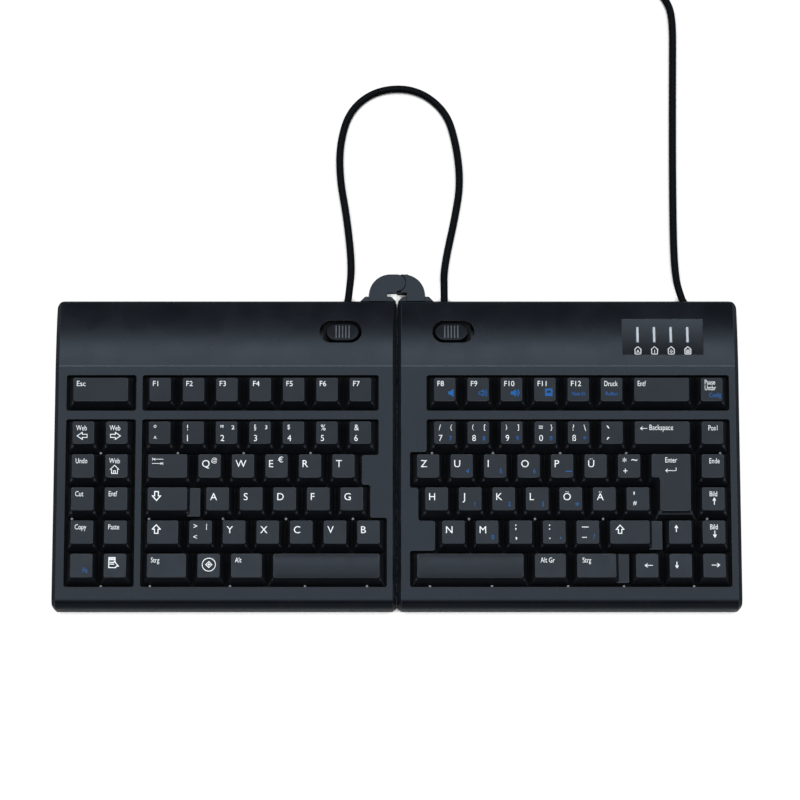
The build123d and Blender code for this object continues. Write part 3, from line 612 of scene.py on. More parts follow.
RIGHT_RUNS = {
    "right_function_keys": (
        Run(FUNCTION, 0, 1, (
            (word("F8", squeeze=1.0), Legend(Sign.SPEAKER, 8.4, 7.0, 4.2, Ink.BLUE)),
            (word("F9", squeeze=1.0), Legend(Sign.SPEAKER_LOW, 6.6, 7.0, 4.2, Ink.BLUE)),
            (word("F10", squeeze=1.0), Legend(Sign.SPEAKER_LOUD, 5.9, 7.0, 4.2, Ink.BLUE)),
            (word("F11", squeeze=1.0), Legend(Sign.SCREEN, 6.5, 6.6, 4.2, Ink.BLUE)),
            (word("F12", squeeze=1.0), Legend("Num Lk", 2.8, 8.4, 2.1, Ink.BLUE, 0.78)),
            (word("Druck"), Legend("Rollen", 3.0, 8.4, 2.1, Ink.BLUE, 0.9)),
        )),
        Run(FUNCTION, 8, 1, (
            (Legend("Pause", 2.4, 1.6, 2.7, squeeze=0.68), Legend("Untbr", 2.4, 4.8, 2.7, squeeze=0.68),
             Legend("Config", 5.0, 9.0, 2.5, Ink.BLUE, 0.7)),
        )),
    ),
    "delete_key": (Run(FUNCTION, 6, 2, ((word("Entf"),),)),),
    "right_number_keys": (Run(NUMBER, 0, 1, (
        (*pair("/", "7"), Legend("{", 9.4, 1.9, 3.5), numeral("7")),
        (*pair("(", "8"), Legend("[", 9.6, 1.9, 3.5), numeral("8")),
        (*pair(")", "9"), Legend("]", 9.6, 1.9, 3.5), numeral("9")),
        (Legend("=", 2.7, 2.6, 1.5), Legend("0", 2.9, 7.8, 3.4), Legend("}", 9.4, 1.9, 3.5), numeral("0")),
        (*pair("?", "ß"), Legend("\\", 9.2, 2.0, 3.5), Legend("*", 9.0, 8.4, 2.0, Ink.BLUE)),
        (Legend("`", 3.1, 2.6, 1.5), Legend("´", 3.2, 9.0, 1.5)),
    )),),
    "backspace_key": (Run(NUMBER, 6, 2, ((
        Legend(Sign.ARROW_LEFT, 3.2, 3.0, 2.2), Legend("Backspace", 8.6, 2.0, 3.0, squeeze=0.76),
    ),)),),
    "right_upper_letter_keys": (
        letters(UPPER, -0.5, "ZUIOPÜ", {
            "U": (numeral("4"),), "I": (numeral("5"),), "O": (numeral("6"),),
            "P": (Legend(Sign.BAR, 8.3, 9.6, 0.45, Ink.BLUE),),
        }),
        Run(UPPER, 5.5, 1, (
            (Legend("*", 2.6, 2.0, 2.6), Legend("~", 7.6, 2.8, 1.0), Legend("+", 3.0, 8.3, 2.4)),
        )),
    ),
    "enter_key": (Run(UPPER, 6.5, 1.5, ((
        Legend("Enter", 7.8, 2.0, 2.9, squeeze=0.74), Legend(Sign.RETURN, 7.7, 7.8, 2.8),
    ),)),),
    "right_home_letter_keys": (
        letters(HOME, -0.25, "HJKLÖÄ", {
            "J": (numeral("1"),), "K": (numeral("2"),), "L": (numeral("3"),), "Ö": (numeral("+"),),
        }),
        Run(HOME, 5.75, 1, ((Legend("'", 3.9, 2.6, 1.9), Legend("#", 3.6, 7.9, 2.5)),)),
    ),
    "right_lower_letter_keys": (
        letters(LOWER, 0.25, "NM", {"M": (numeral("0"),)}),
        Run(LOWER, 2.25, 1, (
            (Legend(";", 3.2, 2.4, 3.4), Legend(",", 3.4, 9.7, 1.7)),
            (Legend(":", 3.3, 2.4, 3.0), Legend(".", 3.4, 10.0, 0.8), Legend(".", 9.6, 9.7, 0.9, Ink.BLUE)),
            (Legend(Sign.BAR, 2.9, 3.6, 0.5), Legend(Sign.BAR, 3.0, 9.6, 0.36),
             Legend("/", 9.2, 7.9, 3.0, Ink.BLUE)),
        )),
    ),
    "right_shift_key": (Run(LOWER, 5.25, 1.75, ((Legend(Sign.BLOCK_UP, 3.0, 2.4, 5.4),),)),),
    "navigation_keys": (
        Run(NUMBER, 8, 1, ((word("Pos1", 4.1),),)), Run(UPPER, 8, 1, ((word("Ende", 4.4),),)),
        Run(HOME, 8, 1, ((word("Bild", 4.3), Legend(Sign.ARROW_UP, 5.8, 5.9, 4.1)),)),
        Run(LOWER, 8, 1, ((word("Bild", 4.3), Legend(Sign.ARROW_DOWN, 5.8, 5.9, 4.1)),)),
    ),
    "arrow_keys": (
        Run(LOWER, 7, 1, ((Legend(Sign.ARROW_UP, 3.1, 2.7, 4.0),),)),
        Run(BOTTOM, 6, 1, (
            (Legend(Sign.ARROW_LEFT, 4.9, 5.6, 2.5),), (Legend(Sign.ARROW_DOWN, 3.1, 4.6, 4.0),),
            (Legend(Sign.ARROW_RIGHT, 4.8, 5.4, 2.5),),
        )),
    ),
    "right_space_bar": (Run(BOTTOM, -0.5, 3.5, ((),)),),
    "alt_gr_key": (Run(BOTTOM, 3, 1.25, ((word("Alt Gr", 3.2),),)),),
    "right_control_key": (Run(BOTTOM, 4.25, 1.75, ((word("Strg", 3.2),),)),),
}


def stroke_faces(shape: bmesh.types.BMesh, sign: Sign) -> None:
    """Lay a sign's strokes into a mesh as flat strips, in a box one unit high."""
    lines, thick, aspect = sign.value
    for line in lines:
        points = [Vector((x * aspect, y, 0)) for x, y in line]
        for one, two in zip(points, points[1:]):
            along = (two - one).normalized() * thick / 2
            side = Vector((-along.y, along.x, 0))
            corners = (one - along - side, two + along - side, two + along + side, one - along + side)
            shape.faces.new([shape.verts.new(corner) for corner in corners])


def glyph_mesh(glyph: str | Sign) -> bpy.types.Mesh:
    """Make a flat mesh of a legend.

    Args:
        glyph: Text or a sign.

    Returns:
        Its mesh in the XY plane, of any size and place.
    """
    if isinstance(glyph, Sign):
        shape = bmesh.new()
        stroke_faces(shape, glyph)
        return drawn("sign", shape)
    curve = bpy.data.curves.new("text", "FONT")
    curve.body = glyph
    curve.resolution_u = 3
    obj = bpy.data.objects.new("text", curve)
    bpy.context.scene.collection.objects.link(obj)
    mesh = baked(obj)
    bpy.data.objects.remove(obj)
    return mesh


@dataclass
class KeySet:
    """All keycaps of a module with their legends. Sizes in millimetres."""

    side: str
    runs: dict[str, tuple[Run, ...]]
    pitch: float = 19.05
    gap: float = 0.85
    function_step: float = 25.8
    skirt: float = 13.9
    cap_height: float = 7.4
    side_inset: float = 2.75
    front_inset: float = 4.15
    back_inset: float = 1.05
    row_fronts: tuple[float, ...] = (-1.0, -0.5, -0.2, -0.5, -0.3, -1.2)
    row_backs: tuple[float, ...] = (0.0, 0.0, 0.0, 0.0, 0.1, 0.45)
    dish: float = 0.45
    crown_radius: float = 24.0
    wall: float = 1.2
    pocket: float = 4.6
    stem: float = 5.6
    stem_low: float = -5.15
    ledge_width: float = 4.75
    ledge_height: float = 3.4
    ledge_inset: float = 0.8
    base_corner: float = 0.8
    top_corner: float = 1.35
    rim: float = 0.42
    corner_steps: int = 4
    edge_steps: int = 6
    highlight_slopes: Point = (0.62, 0.965)
    side_levels: tuple[float, ...] = (0.02, 0.3, 0.6, 0.85)
    rim_profile: tuple[Point, ...] = ((1.0, 0.0), (0.62, 0.08), (0.29, 0.29), (0.08, 0.62), (0.0, 1.0))
    notched_shares: tuple[float, ...] = (0.8, 0.6, 0.4, 0.2)
    top_shares: tuple[float, ...] = (0.75, 0.45, 0.15)
    notch_share: float = 0.25
    ledge_profile: tuple[Point, ...] = ((0.35, 0.0), (0.1, 0.1), (0.0, 0.35))
    stem_sink: float = 0.2
    lift: float = 0.035
    row_heights: tuple[float, ...] = (1.0, 0.97, 0.96, 1.0, 1.08, 1.08)
    row_tilts: tuple[float, ...] = (-5.0, -1.0, 2.0, 5.0, 8.0, 8.0)
    stepped: tuple[str, ...] = ("caps_lock_key", "right_shift_key", "right_control_key")
    glyphs: dict[str | Sign, bpy.types.Mesh] = field(default_factory=dict)
    capital: float = 0.0

    def __post_init__(self) -> None:
        """Measure the font's capitals."""
        self.capital = max(vert.co.y for vert in glyph_mesh("H").vertices)

    def first_column(self) -> float:
        """Left edge of the first key column in millimetres, from the frame."""
        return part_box(f"{self.side}_number_keys")[0][0] / MM - self.gap / 2

    def row_y(self, row: int) -> float:
        """Middle of a key row in millimetres, from the frame."""
        low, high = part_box(f"{self.side}_space_bar")
        y = (low[1] + high[1]) / 2 / MM + min(row, NUMBER) * self.pitch
        return y + self.function_step if row == FUNCTION else y

    def top_height(self, x: float, y: float, half: float, row: int, bar: bool) -> float:
        """Height of a cap's top over its skirt.

        Args:
            x: Place across the cap from its middle.
            y: Place along the cap from its middle.
            half: Half the width of the cap's flat top.
            row: The key row, which sets tilt and height.
            bar: Whether the top is a space bar's barrel.

        Returns:
            The height in millimetres.
        """
        middle = (self.front_inset - self.back_inset) / 2
        if bar:
            return self.cap_height - self.crown_radius + math.sqrt(self.crown_radius**2 - (y - middle) ** 2)
        radius = (half**2 + self.dish**2) / (2 * self.dish)
        hollow = radius - math.sqrt(max(radius**2 - x**2, 0))
        tilt = math.tan(math.radians(self.row_tilts[row]))
        return self.cap_height * self.row_heights[row] - self.dish + hollow + (y - middle) * tilt

    def outline(self, width: float, depth: float, inset: float, corner: float, notch: Point | None,
                row: int = 0) -> list[Point]:
        """Rounded outline of a cap at one level.

        Args:
            width: Width at the skirt.
            depth: Depth at the skirt.
            inset: Share of the taper reached, 1 at the nominal cap height.
            corner: Corner radius.
            notch: Width and depth cut from the front left corner, or None.
            row: The key row, which sets how far front and back lean.

        Returns:
            Points counter-clockwise, round the cap's middle.
        """
        left, right = -width / 2 + self.side_inset * inset, width / 2 - self.side_inset * inset
        front = -depth / 2 + (self.front_inset + self.row_fronts[row]) * inset
        back = depth / 2 - (self.back_inset + self.row_backs[row]) * inset
        corners = [(right, front), (right, back), (left, back)]
        if notch:
            nook = (left + notch[0], front + notch[1])
            corners += [(left, nook[1]), nook, (nook[0], front)]
        else:
            corners.append((left, front))
        return rounded(corners, corner, self.corner_steps, self.edge_steps)

    def cap_rings(self, width: float, depth: float, row: int, bar: bool,
                  notch: Point | None) -> list[list[Place]]:
        """Rings from the roof of the pocket, down round the skirt, up the sides and in over the top.

        Args:
            width: Width at the skirt.
            depth: Depth at the skirt.
            row: The key row.
            bar: Whether the cap is a space bar.
            notch: Width and depth cut from the front left corner, or None.

        Returns:
            The rings, each with as many points.
        """
        half = width / 2 - self.side_inset
        top = self.cap_height * self.row_heights[row]
        rings = []
        for z, wall in ((self.pocket, self.wall), (0.0, self.wall), (0.0, 0.0)):
            inset = z / self.cap_height
            line = self.outline(width - 2 * wall, depth - 2 * wall, inset, self.base_corner, notch, row)
            rings.append([(x, y, z) for x, y in line])
        for share in self.side_levels:
            corner = self.base_corner + (self.top_corner - self.base_corner) * share
            level = share * (top - self.rim) / top
            line = self.outline(width, depth, level * top / self.cap_height, corner, notch, row)
            drop = self.rim if share == self.side_levels[-1] else 0
            rings.append([(x, y, level * (self.top_height(x, y, half, row, bar) - drop)) for x, y in line])
        for drop, draw in self.rim_profile:
            narrow, short = width - 2 * draw * self.rim, depth - 2 * draw * self.rim
            line = self.outline(narrow, short, top / self.cap_height, self.top_corner, notch, row)
            rings.append([(x, y, self.top_height(x, y, half, row, bar) - drop * self.rim) for x, y in line])
        edge = [(x, y) for x, y, _ in rings[-1]]
        middle = (self.front_inset - self.back_inset) / 2
        reach = min(half, depth / 2)
        if notch:
            across, along = notch[0] / 2, self.pitch / 2
            inner = [
                [(across + (x - across) * share, along + (y - along) * share) for x, y in edge]
                for share in self.notched_shares
            ]
        else:
            inner = [
                [(x - math.copysign((1 - share) * min(abs(x), reach), x), middle + (y - middle) * share)
                 for x, y in edge]
                for share in self.top_shares
            ]
        return rings + [[(x, y, self.top_height(x, y, half, row, bar)) for x, y in line] for line in inner]

    def cap(self, name: str, run: Run) -> bpy.types.Mesh:
        """Mesh of one cap of a run, with its middle over the origin and its skirt at zero height."""
        shape = bmesh.new()
        depth = self.pitch - self.gap
        width = run.width * self.pitch - self.gap
        bar = name.endswith("space_bar")
        notch = None
        shift = Vector()
        if name == "enter_key":
            depth += self.pitch
            notch = (self.notch_share * self.pitch, self.pitch)
            shift = Vector((0, -self.pitch / 2, 0))
        if name in self.stepped:
            low = width
            width -= self.ledge_width
            shift = Vector(((width - low) / 2, 0, 0))
            self.ledge(shape, low / 2, self.ledge_inset - depth / 2)
        fresh = set(shape.verts)
        ring_faces(shape, self.cap_rings(width, depth, run.row, bar, notch))
        bmesh.ops.translate(shape, verts=[vert for vert in shape.verts if vert not in fresh], vec=shift)
        foot = [(x * self.stem / 2, y * self.stem / 2) for x, y in ((1, -1), (1, 1), (-1, 1), (-1, -1))]
        if name == "enter_key":
            foot = [(x + notch[0] / 2, y - self.pitch) for x, y in foot]
        reach = (self.stem_low, self.pocket + self.stem_sink)
        ring_faces(shape, [[(x, y, z) for x, y in foot] for z in reach])
        bmesh.ops.recalc_face_normals(shape, faces=shape.faces)
        bmesh.ops.scale(shape, verts=shape.verts, vec=(MM, MM, MM))
        return drawn(f"{name}_cap", shape)

    def ledge(self, shape: bmesh.types.BMesh, right: float, front: float) -> None:
        """Add the low ledge of a stepped key, with rounded upright corners and a softened top."""
        left = right - self.ledge_width - self.side_inset
        rings = []
        for drop, draw in ((self.ledge_height, 0.0), *self.ledge_profile):
            corners = [(right - draw, front + draw), (right - draw, -front - draw)]
            corners += [(left + draw, -front - draw), (left + draw, front + draw)]
            line = rounded(corners, self.base_corner, self.corner_steps)
            rings.append([(x, y, self.ledge_height - drop) for x, y in line])
        ring_faces(shape, rings)

    def legend(self, shape: bmesh.types.BMesh, sign: Legend, middle: Point, run: Run,
               back: float) -> None:
        """Print one legend on a key's top.

        Args:
            shape: Mesh that takes the legend.
            sign: The legend.
            middle: Middle of the key's place in its row, in millimetres.
            run: The key's run.
            back: How far that place lies behind the cap's own middle.
        """
        if sign.glyph not in self.glyphs:
            self.glyphs[sign.glyph] = glyph_mesh(sign.glyph)
        source = self.glyphs[sign.glyph]
        points = [vert.co for vert in source.vertices]
        left, low, high = min(p.x for p in points), min(p.y for p in points), max(p.y for p in points)
        if isinstance(sign.glyph, str) and any(mark.isalpha() or mark.isdecimal() for mark in sign.glyph):
            low, high = 0.0, self.capital
        size = sign.height / (high - low)
        half = (run.width * self.pitch - self.gap) / 2 - self.side_inset
        top_back = (self.pitch - self.gap) / 2 - self.back_inset * self.row_heights[run.row]
        verts = []
        for point in points:
            x = sign.left - half + (point.x - left) * size * sign.squeeze
            y = top_back - sign.back - sign.height + (point.y - low) * size
            z = self.skirt + self.top_height(x, y + back, half, run.row, False) + self.lift
            verts.append(shape.verts.new(((middle[0] + x) * MM, (middle[1] + y) * MM, z * MM)))
        for polygon in source.polygons:
            face = shape.faces.new([verts[n] for n in polygon.vertices])
            face.material_index = sign.ink.value

    def make(self, name: str, tree: bpy.types.NodeTree, looks: Looks) -> None:
        """Build the caps and the legends of one CAD node.

        Args:
            name: The node.
            tree: The tree that sets caps out in a row.
            looks: The finishes.
        """
        caps, signs = bmesh.new(), bmesh.new()
        for run in self.runs[name]:
            middle_x = self.first_column() + (run.start + run.width / 2) * self.pitch
            caps.from_mesh(run_tree(tree, self.cap(name, run), {
                "Count": len(run.legends), "Pitch": self.pitch * MM,
                "Start": metres((middle_x, self.row_y(run.row), self.skirt)), "Material": looks["key_satin"],
            }))
            raised, shift = run, 0.0
            if name in self.stepped:
                raised = replace(run, width=run.width - self.ledge_width / self.pitch)
                shift = -self.ledge_width / 2
            for n, legends in enumerate(run.legends):
                middle = (middle_x + n * self.pitch + shift, self.row_y(run.row))
                for sign in legends:
                    self.legend(signs, sign, middle, raised, self.pitch / 2 if name == "enter_key" else 0.0)
        obj = piece(f"{name}_caps", drawn(f"{name}_caps", caps), [looks["key_satin"], looks["painted_key_rim_highlight"]])
        # Painted highlight: faces of the rounded rim between a cap's top and sides take a brighter finish,
        # standing in for the light that the rim catches.
        low, high = self.highlight_slopes
        for polygon in obj.data.polygons:
            polygon.material_index = int(low < polygon.normal.z < high)
        ease_edges(obj)
        even_normals(obj)
        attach(obj, name)
        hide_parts(name)
        if signs.faces:
            signs.normal_update()
            for face in signs.faces:
                if face.normal.z < 0:
                    face.normal_flip()
            legends = drawn(f"{name}_legends", signs)
            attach(piece(legends.name, legends, [looks["legend_white"], looks["legend_blue"]]), name)
        else:
            signs.free()
        log.info("%s built", name)


def rounded(corners: list[Point], radius: float, steps: int, between: int = 0) -> list[Point]:
    """Round the corners of an outline with square corners.

    Args:
        corners: The corners, counter-clockwise.
        radius: Radius of every corner.
        steps: Points on each corner.
        between: Further points along each straight side.

    Returns:
        The rounded outline.
    """
    points = []
    count = len(corners)
    for n, corner in enumerate(corners):
        here, next_corner = Vector(corner), Vector(corners[(n + 1) % count])
        before = (Vector(corners[n - 1]) - here).normalized()
        after = (next_corner - here).normalized()
        centre = here + (before + after) * radius
        for step in range(steps):
            turn = step / (steps - 1) * math.pi / 2
            spoke = -after * math.cos(turn) - before * math.sin(turn)
            points.append(tuple(centre + spoke * radius))
        start, end = here + after * radius, next_corner - after * radius
        points += [tuple(start.lerp(end, step / (between + 1))) for step in range(1, between + 1)]
    return points


# Geometry Nodes


def node_tree(name: str, inputs: tuple[tuple[str, str, float | None], ...]) -> bpy.types.NodeTree:
    """Make a Geometry Nodes tree with a geometry input and output and named inputs.

    Args:
        name: The tree's name.
        inputs: Name, socket kind and default of each further input.

    Returns:
        The tree, with its group nodes in place.
    """
    tree = bpy.data.node_groups.new(name, "GeometryNodeTree")
    tree.interface.new_socket("Geometry", in_out="INPUT", socket_type="NodeSocketGeometry")
    tree.interface.new_socket("Geometry", in_out="OUTPUT", socket_type="NodeSocketGeometry")
    for label, kind, value in inputs:
        socket = tree.interface.new_socket(label, in_out="INPUT", socket_type=f"NodeSocket{kind}")
        if value is not None:
            socket.default_value = value
    tree.nodes.new("NodeGroupInput")
    tree.nodes.new("NodeGroupOutput")
    return tree


def finish_tree(tree: bpy.types.NodeTree, last: bpy.types.Node, output: str) -> None:
    """End a tree in Realize Instances and Set Material."""
    real, paint = add_node(tree, "GeometryNodeRealizeInstances"), add_node(tree, "GeometryNodeSetMaterial")
    wire(
        tree,
        (last, output, real, "Geometry"), (real, "Geometry", paint, "Geometry"),
        (tree.nodes["Group Input"], "Material", paint, "Material"),
        (paint, "Geometry", tree.nodes["Group Output"], "Geometry"),
    )


def row_tree() -> bpy.types.NodeTree:
    """Tree that sets out copies of its geometry in a row along X."""
    tree = node_tree("key_row", (("Count", "Int", 1), ("Pitch", "Float", 0.019), ("Start", "Vector", None),
                                 ("Material", "Material", None)))
    given = tree.nodes["Group Input"]
    line, step = add_node(tree, "GeometryNodeMeshLine"), add_node(tree, "ShaderNodeCombineXYZ")
    copies = add_node(tree, "GeometryNodeInstanceOnPoints")
    wire(
        tree,
        (given, "Count", line, "Count"), (given, "Start", line, "Start Location"),
        (given, "Pitch", step, "X"), (step, "Vector", line, "Offset"), (line, "Mesh", copies, "Points"),
        (given, "Geometry", copies, "Instance"),
    )
    finish_tree(tree, copies, "Instances")
    return tree


def peg_tree() -> bpy.types.NodeTree:
    """Tree that stands a thin peg with a flattened round head on every point of its geometry."""
    tree = node_tree("frame_pegs", (
        ("Radius", "Float", 0.0008), ("Neck", "Float", 0.0004), ("Height", "Float", 0.005),
        ("Flatten", "Float", 0.6), ("Material", "Material", None),
    ))
    given = tree.nodes["Group Input"]
    shaft = add_node(tree, "GeometryNodeMeshCylinder", {"Vertices": 10})
    dome = add_node(tree, "GeometryNodeMeshUVSphere", {"Segments": 14, "Rings": 7})
    squash, lower = add_node(tree, "GeometryNodeTransform"), add_node(tree, "GeometryNodeTransform")
    drop = add_node(tree, "ShaderNodeCombineXYZ")
    size = add_node(tree, "ShaderNodeCombineXYZ", {"X": 1, "Y": 1})
    half = add_node(tree, "ShaderNodeMath", operation="MULTIPLY")
    half.inputs[1].default_value = -0.5
    both, copies = add_node(tree, "GeometryNodeJoinGeometry"), add_node(tree, "GeometryNodeInstanceOnPoints")
    wire(
        tree,
        (given, "Neck", shaft, "Radius"), (given, "Height", shaft, "Depth"),
        (given, "Radius", dome, "Radius"), (given, "Flatten", size, "Z"), (size, "Vector", squash, "Scale"),
        (dome, "Mesh", squash, "Geometry"), (given, "Height", half, 0), (half, "Value", drop, "Z"),
        (drop, "Vector", lower, "Translation"), (shaft, "Mesh", lower, "Geometry"),
        (squash, "Geometry", both, "Geometry"), (lower, "Geometry", both, "Geometry"),
        (given, "Geometry", copies, "Points"), (both, "Geometry", copies, "Instance"),
    )
    finish_tree(tree, copies, "Instances")
    return tree


def run_tree(tree: bpy.types.NodeTree, mesh: bpy.types.Mesh, values: dict[str, object]) -> bpy.types.Mesh:
    """Run a tree on a mesh and keep the plain result.

    Args:
        tree: The Geometry Nodes tree.
        mesh: Geometry that goes in.
        values: Values of its named inputs.

    Returns:
        The baked mesh.
    """
    obj = bpy.data.objects.new("maker", mesh)
    bpy.context.scene.collection.objects.link(obj)
    modifier = obj.modifiers.new("make", "NODES")
    modifier.node_group = tree
    for item in tree.interface.items_tree:
        if item.in_out == "INPUT" and item.name in values:
            modifier[item.identifier] = values[item.name]
    result = baked(obj)
    obj.modifiers.clear()
    bpy.data.objects.remove(obj)
    return result


@dataclass
class FramePegs:
    """Domed heads of the pegs that hold the key frame, between the caps' corners. Millimetres."""

    spots: dict[float, tuple[float, ...]]
    radius: float = 0.78
    neck: float = 0.36
    flatten: float = 0.55
    foot: float = 10.2
    head: float = 15.4

    def build(self, name: str, body: str, tree: bpy.types.NodeTree, material: bpy.types.Material) -> None:
        """Stand the pegs on the frame of one module.

        Args:
            name: The piece's name.
            body: The module's body.
            tree: The tree that stands a peg on each point.
            material: The pegs' finish, a grey that paints a highlight on each head.
        """
        mesh = bpy.data.meshes.new(name)
        heads = [metres((x, y, self.head)) for y, row in self.spots.items() for x in row]
        mesh.from_pydata(heads, [], [])
        values = {"Radius": self.radius * MM, "Neck": self.neck * MM, "Height": (self.head - self.foot) * MM,
                  "Flatten": self.flatten, "Material": material}
        obj = piece(name, run_tree(tree, mesh, values), [material])
        ease_edges(obj)
        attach(obj, body)


# Cables


@dataclass
class Cables:
    """The link between the modules and the long lead with its hank. Routes in millimetres."""

    diameter: float = 4.2
    link_length: float = 0.296
    lead_length: float = 1.816
    loops: int = 6
    half_run: float = 38.0
    inner_fold: float = 12.6
    step: float = 5.0
    layer_rise: float = 4.8
    tail_straight: float = 14.0
    tail_drop: float = 28.0
    plug_height: float = 4.1
    fold_points: int = 5
    tail_ease_share: float = 0.3
    section_steps: int = 5
    tie_width: float = 7.0
    tie_thickness: float = 0.7
    tie_slack: float = 0.05
    tie_steps: int = 6
    grip_round: float = 0.6
    shell_round: float = 0.12
    sheath_degrees: float = 60
    link_route: tuple[Place, ...] = (
        (-28.3, 83.2, 4.3), (-27.3, 91.2, 4.3), (-26.4, 102.0, 2.1), (-27.2, 116.0, 2.1),
        (-29.6, 136.0, 2.1), (-33.3, 157.0, 2.1), (-33.4, 178.0, 2.1), (-27.5, 198.5, 2.1),
        (-11.5, 210.8, 2.1), (11.0, 211.3, 2.1), (28.5, 198.0, 2.1), (34.6, 177.5, 2.1),
        (37.0, 154.0, 2.1), (33.6, 133.0, 2.1), (29.2, 113.0, 2.1), (27.1, 100.0, 2.1),
        (27.3, 90.6, 4.3), (27.3, 83.2, 4.3),
    )
    lead_route: tuple[Place, ...] = (
        (165.1, 83.2, 4.3), (162.5, 90.4, 4.3), (161.2, 100.5, 2.1), (160.5, 115.0, 2.1),
        (160.4, 140.0, 2.1), (160.7, 178.0, 2.1), (161.4, 222.0, 2.1), (162.0, 256.0, 2.1),
        (157.4, 267.1, 2.1), (148.9, 275.6, 2.1), (137.8, 280.2, 2.1), (125.8, 280.2, 2.1),
    )

    def outer_fold(self) -> float:
        """How far the hank's outermost run lies from its middle line."""
        return self.inner_fold + (self.loops - 1) / 2 * self.step

    def hank_middle(self) -> Point:
        """Middle of the hank in millimetres."""
        end = self.lead_route[-1]
        return end[0] - self.half_run - self.diameter, end[1] + self.outer_fold()

    def hank_points(self) -> list[Place]:
        """Control points of the hank: in on the lower layer, out on the upper one, then the tail."""
        middle_x, middle_y = self.hank_middle()
        side, y, z = 1, -self.outer_fold(), self.diameter / 2
        half_turn = math.pi / 2 / self.fold_points
        points = []
        reach = 0.0
        for run in range(2 * self.loops):
            rise = self.layer_rise if run == self.loops else 0
            inward = run < self.loops
            steps = (side < 0) if inward else (side > 0)
            across = -y + math.copysign(self.step, y) * steps * (1 if inward else -1)
            fold = abs(y - across) / 2
            corner = fold / math.cos(half_turn)
            leave, enter = self.half_run - fold * math.tan(half_turn), self.half_run - reach
            points += [(side * enter, y, z), (0.0, y, z + rise / 2), (-side * leave, y, z + rise)]
            z += rise
            if run == 2 * self.loops - 1:
                points[-1] = (-side * self.half_run, y, z)
                break
            for n in range(self.fold_points):
                turn = (2 * n + 1) * half_turn
                swing = (y - across) / 2 * math.cos(turn) / math.cos(half_turn)
                out = self.half_run + corner * math.sin(turn)
                points.append((-side * out, (y + across) / 2 + swing, z))
            reach = fold * math.tan(half_turn)
            side, y = -side, across
        straight = self.half_run + self.tail_straight
        end, ease, low = straight + self.tail_drop, self.tail_drop * self.tail_ease_share, self.plug_height
        points += [(straight, y, z), (straight + ease, y, z), (end - ease, y, low), (end, y, low)]
        points.append((end + self.diameter, y, low))
        return [(middle_x + px, middle_y + py, pz) for px, py, pz in points]

    def spline(self, name: str, points: list[Place]) -> bpy.types.Object:
        """Curve object of one smooth NURBS line through its route."""
        curve = bpy.data.curves.new(name, "CURVE")
        curve.dimensions = "3D"
        line = curve.splines.new("NURBS")
        line.points.add(len(points) - 1)
        for point, (x, y, z) in zip(line.points, points):
            point.co = (*metres((x, y, z)), 1)
        line.order_u = 3
        line.use_endpoint_u = True
        line.resolution_u = 8
        curve.resolution_u = 8
        obj = bpy.data.objects.new(name, curve)
        bpy.context.scene.collection.objects.link(obj)
        return obj

    def thicken(self, curve: bpy.types.Curve) -> None:
        """Give a line the cable's round section."""
        curve.bevel_depth = self.diameter / 2 * MM
        curve.bevel_resolution = self.section_steps
        curve.use_fill_caps = True

    def lead(self, looks: Looks) -> bpy.types.Object:
        """The long lead with its hank, as one curve."""
        obj = self.spline("long_lead", [*self.lead_route, *self.hank_points()[1:]])
        self.thicken(obj.data)
        obj.data.materials.append(looks["cable_black"])
        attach(obj, "right_module")
        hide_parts("usb_cable", "usb_cable_coil")
        return obj

    def link(self, looks: Looks) -> None:
        """The link cable as a tube along its curved route between the modules."""
        line = self.spline("link_line", list(self.link_route))
        path = [tuple(vert.co) for vert in baked(line).vertices]
        self.thicken(line.data)
        tube = baked(line)
        bpy.data.objects.remove(line)
        obj = piece("link_lead", tube, [looks["cable_black"]])
        ease_edges(obj, self.sheath_degrees)
        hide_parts("link_cable")
        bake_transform(obj)

    def ties(self, looks: Looks) -> list[bpy.types.Object]:
        """Woven bands that hold the two sides of the hank."""
        middle_x, middle_y = self.hank_middle()
        bundle = self.step * (self.loops - 1) / 2 + self.diameter
        height = self.layer_rise + self.diameter
        made = []
        for side in (-1, 1):
            centre = middle_y + side * (self.outer_fold() - self.step * (self.loops - 1) / 4)
            shape = bmesh.new()
            loops = []
            for grow in (self.tie_slack, self.tie_thickness):
                wide, low, high = bundle / 2 + grow, max(-grow, 0.0), height + grow
                corners = [(wide, low), (wide, high), (-wide, high), (-wide, low)]
                outline = rounded(corners, self.diameter / 2, self.tie_steps)
                for x in (middle_x - self.tie_width / 2, middle_x + self.tie_width / 2):
                    loops.append([shape.verts.new(metres((x, centre + y, z))) for y, z in outline])
            count = len(loops[0])
            for one, two in ((0, 1), (1, 3), (3, 2), (2, 0)):
                for n in range(count):
                    after = (n + 1) % count
                    shape.faces.new((loops[one][n], loops[one][after], loops[two][after], loops[two][n]))
            name = "left_tie" if side < 0 else "right_tie"
            made.append(closed_piece(name, shape, looks["tie_black"], "right_module"))
        return made

    def build(self, looks: Looks) -> None:
        """Build both cables and the pieces on the long one."""
        self.link(looks)
        lead = self.lead(looks)
        grip = softened("usb_plug_grip", "right_module", looks["plug_rubber"], self.grip_round * MM, 3)
        shell = softened("usb_plug_shell", "right_module", looks["plug_nickel"], self.shell_round * MM)
        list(self.ties(looks))
        log.info("cables built")


# Case parts


